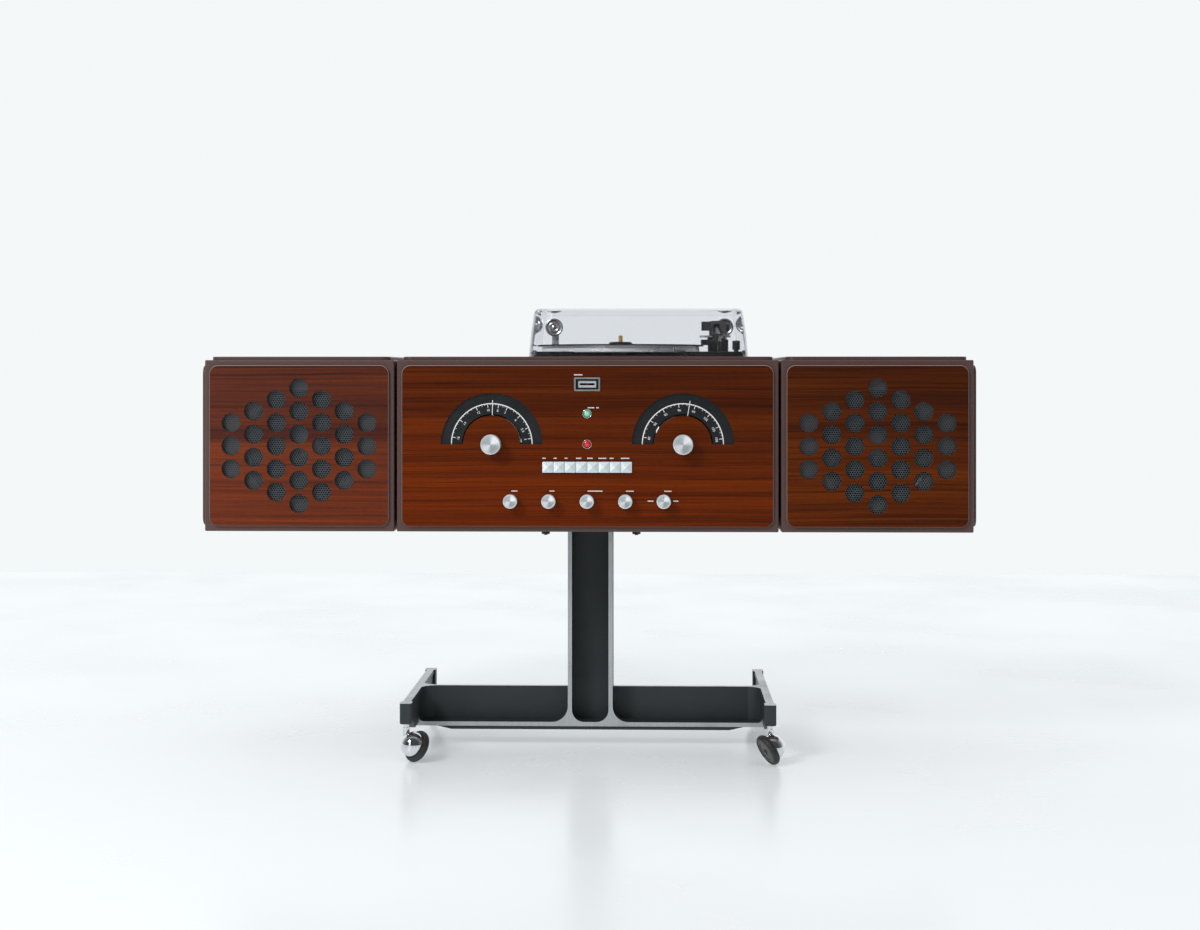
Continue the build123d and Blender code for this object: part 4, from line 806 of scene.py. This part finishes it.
def dress_nodes():
    """Give every CAD node its finish."""
    for name, seed, side in (("console_cabinet", 1.0, 0), ("speaker_cabinet_left", 3.0, -1),
                             ("speaker_cabinet_right", 7.0, 1)):
        cabinet_finish(name.replace("_cabinet", "") + "_case", seed, side).paint(NODES[name])
    # each front's low and high tints mix wood tone with painted light and shade; on the left speaker the high tint
    # also carries a painted grey reflection
    for name, seed, low_wood_and_light_tint, high_wood_and_light_tint, veil in (
            ("console_front_panel", 2.0, (0.92, 0.82, 0.9), (0.46, 0.52, 1.5), 0.04),
            ("speaker_front_left", 4.7, (0.98, 0.94, 1.6), (0.52, 0.62, 3.6), 0.30),
            ("speaker_front_right", 9.3, (0.60, 0.68, 1.2), (0.38, 0.50, 1.8), 0.04)):
        front_veneer(name + "_veneer", seed, low_wood_and_light_tint, high_wood_and_light_tint, veil).paint(NODES[name])
    hardboard().paint(NODES["console_back_panel"])
    cast_stand().paint(NODES["stand_casting"])
    fixings_finish().paint(NODES["fixings"])
    meter_finish().paint(NODES["tuning_meter"])
    lamp_lens().paint(NODES["indicator_lamps"])
    chassis_finish().paint(NODES["tuner_amplifier"])
    inlet_finish().paint(NODES["mains_inlet"])
    socket_finish().paint(NODES["rear_sockets"])
    platter_metal().paint(NODES["platter"])
    rubber_mat().paint(NODES["platter_mat"])
    arm_base_finish().paint(NODES["tonearm_base"])
    clear_cover().paint(NODES["dust_cover"])
    polished = chrome()
    polished.paint(NODES["start_lever"])
    leaf_finish().paint(NODES["cover_leaves"])
    plain_metal("motor_zinc", (0.36, 0.37, 0.36), (0.56, 0.57, 0.55), 0.4).paint(NODES["drive_motor"])
    black = plastic("black_plastic", (0.010, 0.010, 0.011), (0.024, 0.024, 0.026), 0.42)
    black.paint(NODES["switch_bank"], NODES["centre_adapter"], NODES["speed_selector"],
                NODES["cover_hinge_blocks"])
    plastic("dial_black", (0.0065, 0.0080, 0.0095), (0.010, 0.0125, 0.0145), 0.30, 1400.0, 0.04).paint(
        NODES["dial_scales"])
    plastic("deck_enamel", (0.012, 0.012, 0.013), (0.020, 0.020, 0.022), 0.30, 700.0, 0.10).paint(
        NODES["deck_plate"])
    plastic("arm_grey", (0.030, 0.031, 0.033), (0.060, 0.062, 0.065), 0.38).paint(NODES["tonearm_yoke"])
    plastic("arm_enamel", (0.012, 0.012, 0.013), (0.024, 0.024, 0.025), 0.30).paint(NODES["tonearm"])
    plastic("pulley_rubber", (0.015, 0.014, 0.013), (0.035, 0.033, 0.030), 0.7).paint(NODES["motor_pulley"])
    needle = plastic("needle_red", (0.42, 0.030, 0.020), (0.60, 0.050, 0.030), 0.4)
    needle.paint(NODES["meter_needle"])
    white = plastic("pointer_white", (0.72, 0.72, 0.70), (0.84, 0.84, 0.82), 0.4)
    for side in ("left", "right"):
        white.paint(NODES["dial_pointer_" + side])
        driver_finish(middle("speaker_driver_" + side)).paint(NODES["speaker_driver_" + side])
        at = DIALS[side]
        spun_face("tuning_spun_" + side, at.x, at.z).paint(NODES["tuning_knob_" + side])
    for number in range(1, 6):
        at = joint_place(f"control_turn_{number}")
        spun_face(f"control_spun_{number}", at.x, at.z).paint(NODES[f"control_knob_{number}"])
    satin = button_finish()
    for number in range(1, 9):
        satin.paint(NODES[f"push_button_{number}"])
    for corner in ("front_left", "front_right", "back_left", "back_right"):
        polished.paint(NODES["caster_hood_" + corner])
        spin = next(j for j in frame["joints"] if j["name"] == "wheel_spin_" + corner)
        wheel_finish("wheel_" + corner, spin["pos_m"], spin["axis"]).paint(NODES["caster_wheel_" + corner])


def button_finish():
    """Metallised silver push buttons, satin, with a faint grime; the facets that face down or to the right carry
    painted shade.
    """
    s = Shader("button_silver")
    x, y, z = s.position()
    grime = s.noise(s.vector(x, y, z), 120.0, 5.0)
    head = s.span(y, FRONT - 0.0005, FRONT + 0.0005, 1.0, 0.0)
    nx, _, nz = s.normal()
    silver = s.mix(s.ramp(grime, [(0.45, (0, 0, 0)), (0.85, (1, 1, 1))]), (0.86, 0.93, 0.96), (0.66, 0.72, 0.75))
    # painted shade: facets that face down or to the right are painted darker
    painted_facet_shade_slope = s.math("ADD", nz, s.times(nx, -0.7))
    silver = s.mix(s.span(painted_facet_shade_slope, -0.12, 0.12), (0.64, 0.70, 0.72), silver)
    s.set(base_color=s.mix(head, (0.05, 0.05, 0.05), silver), metallic=s.times(head, 0.3),
          roughness=s.span(grime, 0.3, 0.7, 0.26, 0.38))
    s.bump(grime, 0.05, 0.0004)
    return s


# ---------------------------------------------------------------- mesh helpers


def mesh_piece(name, verts, faces, smooth=False):
    """An object from plain mesh data."""
    mesh = bpy.data.meshes.new(name)
    mesh.from_pydata([tuple(v) for v in verts], [], faces)
    mesh.update()
    if smooth:
        mesh.shade_smooth()
    piece = bpy.data.objects.new(name, mesh)
    bpy.context.scene.collection.objects.link(piece)
    return piece


class Build:
    """Collects the faces of one piece."""

    def __init__(self):
        self.verts = []
        self.faces = []

    def add(self, verts, faces):
        start = len(self.verts)
        self.verts.extend(Vector(v) for v in verts)
        self.faces.extend(tuple(start + i for i in face) for face in faces)

    def slab(self, outline, back, front):
        """A flat outline of (x, z) pairs, counter-clockwise from the front, between two Y planes."""
        n = len(outline)
        verts = [(x, front, z) for x, z in outline] + [(x, back, z) for x, z in outline]
        faces = [tuple(range(n)), tuple(reversed(range(n, 2 * n)))]
        faces += [(i, i + n, (i + 1) % n + n, (i + 1) % n) for i in range(n)]
        self.add(verts, faces)

    def lathe(self, profile, steps, matrix):
        """A profile of (radius, height) pairs turned about local Z."""
        rows = len(profile)
        verts = []
        for step in range(steps):
            angle = 2 * math.pi * step / steps
            for r, h in profile:
                verts.append(matrix @ Vector((r * math.cos(angle), r * math.sin(angle), h)))
        faces = []
        for step in range(steps):
            a, b = step * rows, (step + 1) % steps * rows
            faces += [(a + i, b + i, b + i + 1, a + i + 1) for i in range(rows - 1)]
        self.add(verts, faces)

    def piece(self, name, smooth=False):
        return mesh_piece(name, self.verts, self.faces, smooth)


def ring_part(center, radius, width, start, end, steps):
    """Outline of part of a flat ring in the X-Z plane; angles are degrees clockwise from upright."""
    angles = [math.radians(start + (end - start) * i / steps) for i in range(steps + 1)]
    outer = [(center.x + (radius + width / 2) * math.sin(a), center.z + (radius + width / 2) * math.cos(a))
             for a in angles]
    inner = [(center.x + (radius - width / 2) * math.sin(a), center.z + (radius - width / 2) * math.cos(a))
             for a in angles]
    return outer, inner


def ring_strip(build, center, radius, width, start, end, steps, back, front):
    """Part of a flat ring as short slabs that share no faces inside."""
    outer, inner = ring_part(center, radius, width, start, end, steps)
    verts = [(x, front, z) for x, z in outer] + [(x, front, z) for x, z in inner]
    verts += [(x, back, z) for x, z in outer] + [(x, back, z) for x, z in inner]
    n = len(outer)
    faces = []
    for i in range(n - 1):
        faces.append((i, n + i, n + i + 1, i + 1))
        faces.append((2 * n + i, i, i + 1, 2 * n + i + 1))
        faces.append((n + i, 3 * n + i, 3 * n + i + 1, n + i + 1))
        faces.append((2 * n + i, 2 * n + i + 1, 3 * n + i + 1, 3 * n + i))
    faces += [(0, 2 * n, 3 * n, n), (n - 1, 2 * n - 1, 4 * n - 1, 3 * n - 1)]
    build.add(verts, faces)


def tick(build, center, angle, inner, outer, width, back, front):
    """A radial mark."""
    a = math.radians(angle)
    out = Vector((math.sin(a), math.cos(a)))
    side = Vector((out.y, -out.x)) * width / 2
    mid = Vector((center.x, center.z))
    corners = ((inner, -1), (inner, 1), (outer, 1), (outer, -1))
    build.slab([tuple(mid + out * reach + side * sign) for reach, sign in corners], back, front)


def number_mesh(text, height):
    """Vertices and faces of a number in the X-Y plane, centred."""
    curve = bpy.data.curves.new("number", "FONT")
    curve.body = text
    curve.size = height
    curve.align_x = "CENTER"
    curve.align_y = "CENTER"
    curve.resolution_u = 3
    curve.extrude = 0.00008
    item = bpy.data.objects.new("number", curve)
    bpy.context.scene.collection.objects.link(item)
    bpy.context.view_layer.update()
    mesh = bpy.data.meshes.new_from_object(item.evaluated_get(bpy.context.evaluated_depsgraph_get()))
    verts = [v.co.copy() for v in mesh.vertices]
    faces = [tuple(p.vertices) for p in mesh.polygons]
    bpy.data.objects.remove(item)
    bpy.data.curves.remove(curve)
    bpy.data.meshes.remove(mesh)
    return verts, faces


def add_number(build, text, height, center, angle, radius, front):
    """A number upright along the radius at an angle from upright."""
    a = math.radians(angle)
    verts, faces = number_mesh(text, height)
    turn = Matrix.Rotation(-a, 4, "Z")
    stand = Matrix.Rotation(math.pi / 2, 4, "X")
    place = Vector((center.x + radius * math.sin(a), front, center.z + radius * math.cos(a)))
    build.add([stand @ (turn @ v) + place for v in verts], faces)


def finish_piece(piece, body, slot, shader, *replaced):
    """Paint a piece, attach it to its body, and hide what it stands for. The slot is not used."""
    shader.paint(piece)
    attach(piece, body)
    if replaced:
        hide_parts(*replaced)
    return piece


# ---------------------------------------------------------------- printed scales and marks


DIAL_MARKS = {
    "left": [(-80, "16"), (-53, "14"), (-23, "12"), (-6, "10"), (10, "8"), (23, "7"), (45, "6"), (66, "5.5"),
             (82, "5")],
    "right": [(-80, "87"), (-54, "90"), (-30, "93"), (-6, "96"), (18, "99"), (42, "102"), (64, "105"),
              (82, "108")],
}


def dial_print(side):
    """White scale arc, ticks and numbers on one scale plate."""
    center = DIALS[side]
    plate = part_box("dial_scales")[0].y
    front, back = plate - 0.00012, plate + 0.0002
    build = Build()
    ring_strip(build, center, 0.0635, 0.0015, -90, 90, 90, back, front)
    for angle, text in DIAL_MARKS[side]:
        tick(build, center, angle, 0.0575, 0.0630, 0.0009, back, front)
        add_number(build, text, 0.0054, center, angle, 0.0532, front)
    marks = [angle for angle, text in DIAL_MARKS[side]]
    for low, high in zip(marks, marks[1:]):
        for share in (0.25, 0.5, 0.75):
            length = 0.0602 if share == 0.5 else 0.0612
            tick(build, center, low + (high - low) * share, length, 0.0630, 0.0006, back, front)
    return build.piece("dial_print_" + side)


MARK_HEIGHT = 0.0018
MARK_GAP = 0.0004


def mark_row(build, left, z, width, seed, front):
    """A line of small plain blocks where the object has fine print."""
    dice = random.Random(seed)
    x = left
    while x < left + width - 0.0006:
        wide = min(dice.choice((0.0008, 0.0011, 0.0014)), left + width - x)
        low, high = z - MARK_HEIGHT / 2, z + MARK_HEIGHT / 2
        build.slab([(x, low), (x + wide, low), (x + wide, high), (x, high)], front + 0.0003, front - 0.0001)
        x += wide + MARK_GAP


def panel_marks():
    """Marks above the knobs, the push buttons, the lamps and the meter, and beside the last knob."""
    build = Build()
    for number, width in zip(range(1, 6), (0.010, 0.008, 0.023, 0.012, 0.011)):
        at = joint_place(f"control_turn_{number}")
        mark_row(build, at.x + 0.001, at.z + 0.0155, width, number, FACE)
    last = joint_place("control_turn_5")
    mark_row(build, last.x - 0.0250, last.z, 0.0090, 21, FACE)
    mark_row(build, last.x + 0.0150, last.z, 0.0080, 22, FACE)
    for number, width in zip(range(1, 9), (0.005, 0.005, 0.004, 0.009, 0.009, 0.013, 0.006, 0.013)):
        low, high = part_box(f"push_button_{number}")
        mark_row(build, low.x, high.z + 0.0054, width, 30 + number, FACE)
    low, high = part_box("indicator_lamps")
    mark_row(build, 0.001, high.z + 0.0030, 0.0110, 41, FACE)
    mark_row(build, 0.0145, high.z + 0.0030, 0.0045, 42, FACE)
    low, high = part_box("tuning_meter")
    mark_row(build, low.x, high.z + 0.0040, 0.0140, 43, FACE)
    return build.piece("panel_marks")


def lamp_rims():
    """Thin bright rims around the two lamps."""
    low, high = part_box("indicator_lamps")
    r = (high.x - low.x) / 2
    build = Build()
    profile = [(r + 0.0001, 0.0), (r + 0.0002, 0.0011), (r + 0.0006, 0.0014), (r + 0.0011, 0.0010),
               (r + 0.0013, -0.0002)]
    for z in (low.z + r, high.z - r):
        stand = Matrix.Translation((0.0, FACE, z)) @ Matrix.Rotation(math.pi / 2, 4, "X")
        build.lathe(profile, 48, stand)
    return build.piece("lamp_rims", True)


def yoke_cover():
    """Pressed cover over the arm's fork: a face with a slot for the tube, and a top."""
    low_z, high_z = ARM.z - 0.0125, ARM.z + 0.0118
    left, right = ARM.x - 0.0082, ARM.x + 0.0172
    slot = 0.0050
    front, back = ARM.y - 0.0108, ARM.y - 0.0096
    build = Build()
    sheet = 0.0006
    for x0, x1, z0, z1, y1, y0 in (
        (left, ARM.x - slot, low_z, high_z, back, front),
        (ARM.x + slot, right, low_z, high_z, back, front),
        (ARM.x - slot, ARM.x + slot, low_z, ARM.z - 0.0075, back, front),
        (ARM.x - slot, ARM.x + slot, ARM.z + 0.0065, high_z, back, front),
        (left, right, high_z - sheet, high_z, ARM.y + 0.009, back),
    ):
        build.slab([(x0, z0), (x0, z1), (x1, z1), (x1, z0)], y1, y0)
    return build.piece("yoke_cover")


def clamp_rings():
    """Turned rings on the front of the two round clamp discs."""
    mesh = NODES["cover_leaves"].data
    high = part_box("cover_leaves")[1]
    disc = 0.013
    build = Build()
    for sign in (-1, 1):
        center = high.x - disc if sign > 0 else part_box("cover_leaves")[0].x + disc
        z = high.z - disc
        near = [v.co.y for v in mesh.vertices if (v.co.x - center) ** 2 + (v.co.z - z) ** 2 < (disc * 1.05) ** 2]
        stand = Matrix.Translation((center, min(near), z)) @ Matrix.Rotation(math.pi / 2, 4, "X")
        profile = []
        for r, h in ((0.0002, 0.8), (0.0030, 0.8), (0.0034, 0.3), (0.0060, 0.3), (0.0064, 1.2), (0.0086, 1.2),
                     (0.0090, 0.4), (0.0116, 0.4), (0.0120, 1.5), (0.0150, 1.5), (0.0156, 0.9), (0.0156, -1.4)):
            profile.append((r, h * MM))
        build.lathe(profile, 64, stand)
    return build.piece("clamp_rings", True)


def rear_marks():
    """Plain marks over the sockets on the back."""
    low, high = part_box("rear_sockets")
    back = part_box("console_back_panel")[1].y
    build = Build()
    for index in range(5):
        x = (low.x + high.x) / 2 - 0.1556 + index * 0.040
        for bar in range(3):
            a = x + bar * 0.004
            outline = [(a, high.z - 0.0120), (a, high.z - 0.0102), (a + 0.0028, high.z - 0.0102),
                       (a + 0.0028, high.z - 0.0120)]
            build.slab(outline, back - 0.0003, back + 0.0001)
    return build.piece("rear_marks")


# ---------------------------------------------------------------- perforated grilles


HOLE_COLUMNS = (3, 4, 5, 6, 5, 4, 3)
HOLE_PITCH = (0.0358, 0.0364)
MESH_PITCH = 0.0038
MESH_HOLE = 0.00152
MESH_SHEET = 0.0008


def sound_holes(center):
    """Centres of the thirty sound holes."""
    places = []
    for index, count in enumerate(HOLE_COLUMNS):
        x = center.x + (index - (len(HOLE_COLUMNS) - 1) / 2) * HOLE_PITCH[0]
        for row in range(count):
            places.append((x, center.z + (row - (count - 1) / 2) * HOLE_PITCH[1]))
    return places


def perforated_sheet(side):
    """A metal sheet in six-sided cells, each with a round hole where a sound hole shows it."""
    low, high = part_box("speaker_grille_" + side)
    center = (low + high) / 2
    holes = sound_holes(middle("speaker_front_" + side))
    reach = 0.0175
    corner = MESH_PITCH / math.sqrt(3)
    rows = int((high.z - low.z) / (corner * 1.5))
    columns = int((high.x - low.x) / MESH_PITCH)
    front = low.y + 0.0001
    back = front + MESH_SHEET
    index = {}
    verts = []
    faces = []

    def vertex(x, y, z):
        key = (round(x * 1e6), round(y * 1e6), round(z * 1e6))
        if key not in index:
            index[key] = len(verts)
            verts.append((x, y, z))
        return index[key]

    for row in range(rows):
        z = center.z + (row - (rows - 1) / 2) * corner * 1.5
        for column in range(columns - row % 2):
            x = center.x + (column - (columns - 1 - row % 2) / 2) * MESH_PITCH
            hexagon = [(x + corner * math.sin(math.radians(60 * i)), z + corner * math.cos(math.radians(60 * i)))
                       for i in range(6)]
            outline = []
            for i in range(6):
                a, b = hexagon[i], hexagon[(i + 1) % 6]
                outline += [a, ((a[0] + b[0]) / 2, (a[1] + b[1]) / 2)]
            rim = [vertex(a, front, b) for a, b in outline]
            if not any((x - hx) ** 2 + (z - hz) ** 2 < reach ** 2 for hx, hz in holes):
                faces.append(tuple(rim))
                continue
            ring = []
            well = []
            for i in range(12):
                angle = math.radians(30 * i)
                px, pz = x + MESH_HOLE * math.sin(angle), z + MESH_HOLE * math.cos(angle)
                ring.append(vertex(px, front, pz))
                well.append(vertex(px, back, pz))
            for i in range(12):
                j = (i + 1) % 12
                faces.append((rim[i], rim[j], ring[j], ring[i]))
                faces.append((ring[i], ring[j], well[j], well[i]))
    return mesh_piece("perforated_grille_" + side, verts, faces)


def grille_finish():
    """Blue-black stoved paint on the perforated sheet, paler where it is rubbed."""
    s = Shader("grille_paint")
    x, y, z = s.position()
    wear = s.noise(s.vector(x, y, z), 260.0, 5.0)
    s.set(base_color=s.mix(wear, (0.068, 0.082, 0.090), (0.130, 0.152, 0.165)), metallic=0.3,
          roughness=s.span(wear, 0.3, 0.7, 0.34, 0.5), specular=0.5)
    s.bump(wear, 0.05, 0.0003)
    return s


# ---------------------------------------------------------------- making it


def main():
    add_camera()
    add_world()
    add_floor()
    middle_point = (0.0, 0.0, 0.5)
    add_area("key", (-2.4, -3.0, 2.9), middle_point, (1.0, 1.0), 85.0)
    add_area("overhead", (0.0, 0.2, 3.4), middle_point, (4.5, 3.5), 6.0)
    add_area("sheen", (-1.7, -3.2, 0.9), (-0.45, FRONT, 0.5), (0.9, 1.6), 5.0)
    dress_nodes()
    ink = plastic("white_ink", (0.74, 0.74, 0.72), (0.84, 0.84, 0.82), 0.5, 1800.0)
    for side in ("left", "right"):
        finish_piece(dial_print(side), "console", "white_print", ink)
        finish_piece(perforated_sheet(side), "speaker_" + side, "grille_metal", grille_finish(),
                     "speaker_grille_" + side)
    finish_piece(panel_marks(), "console", "white_print", ink)
    finish_piece(rear_marks(), "console", "white_print", ink)
    finish_piece(lamp_rims(), "console", "chrome", chrome("lamp_rim_chrome"))
    finish_piece(yoke_cover(), "tonearm_yoke", "black_plastic",
                 plastic("arm_cover_grey", (0.050, 0.053, 0.057), (0.110, 0.114, 0.120), 0.36, 500.0, 0.2))
    finish_piece(clamp_rings(), "dust_cover", "chrome",
                 plain_metal("clamp_metal", (0.62, 0.63, 0.64), (0.80, 0.81, 0.82), 0.22, (900.0, 900.0, 900.0)))
    bpy.context.scene.view_settings.view_transform = "Standard"


main()
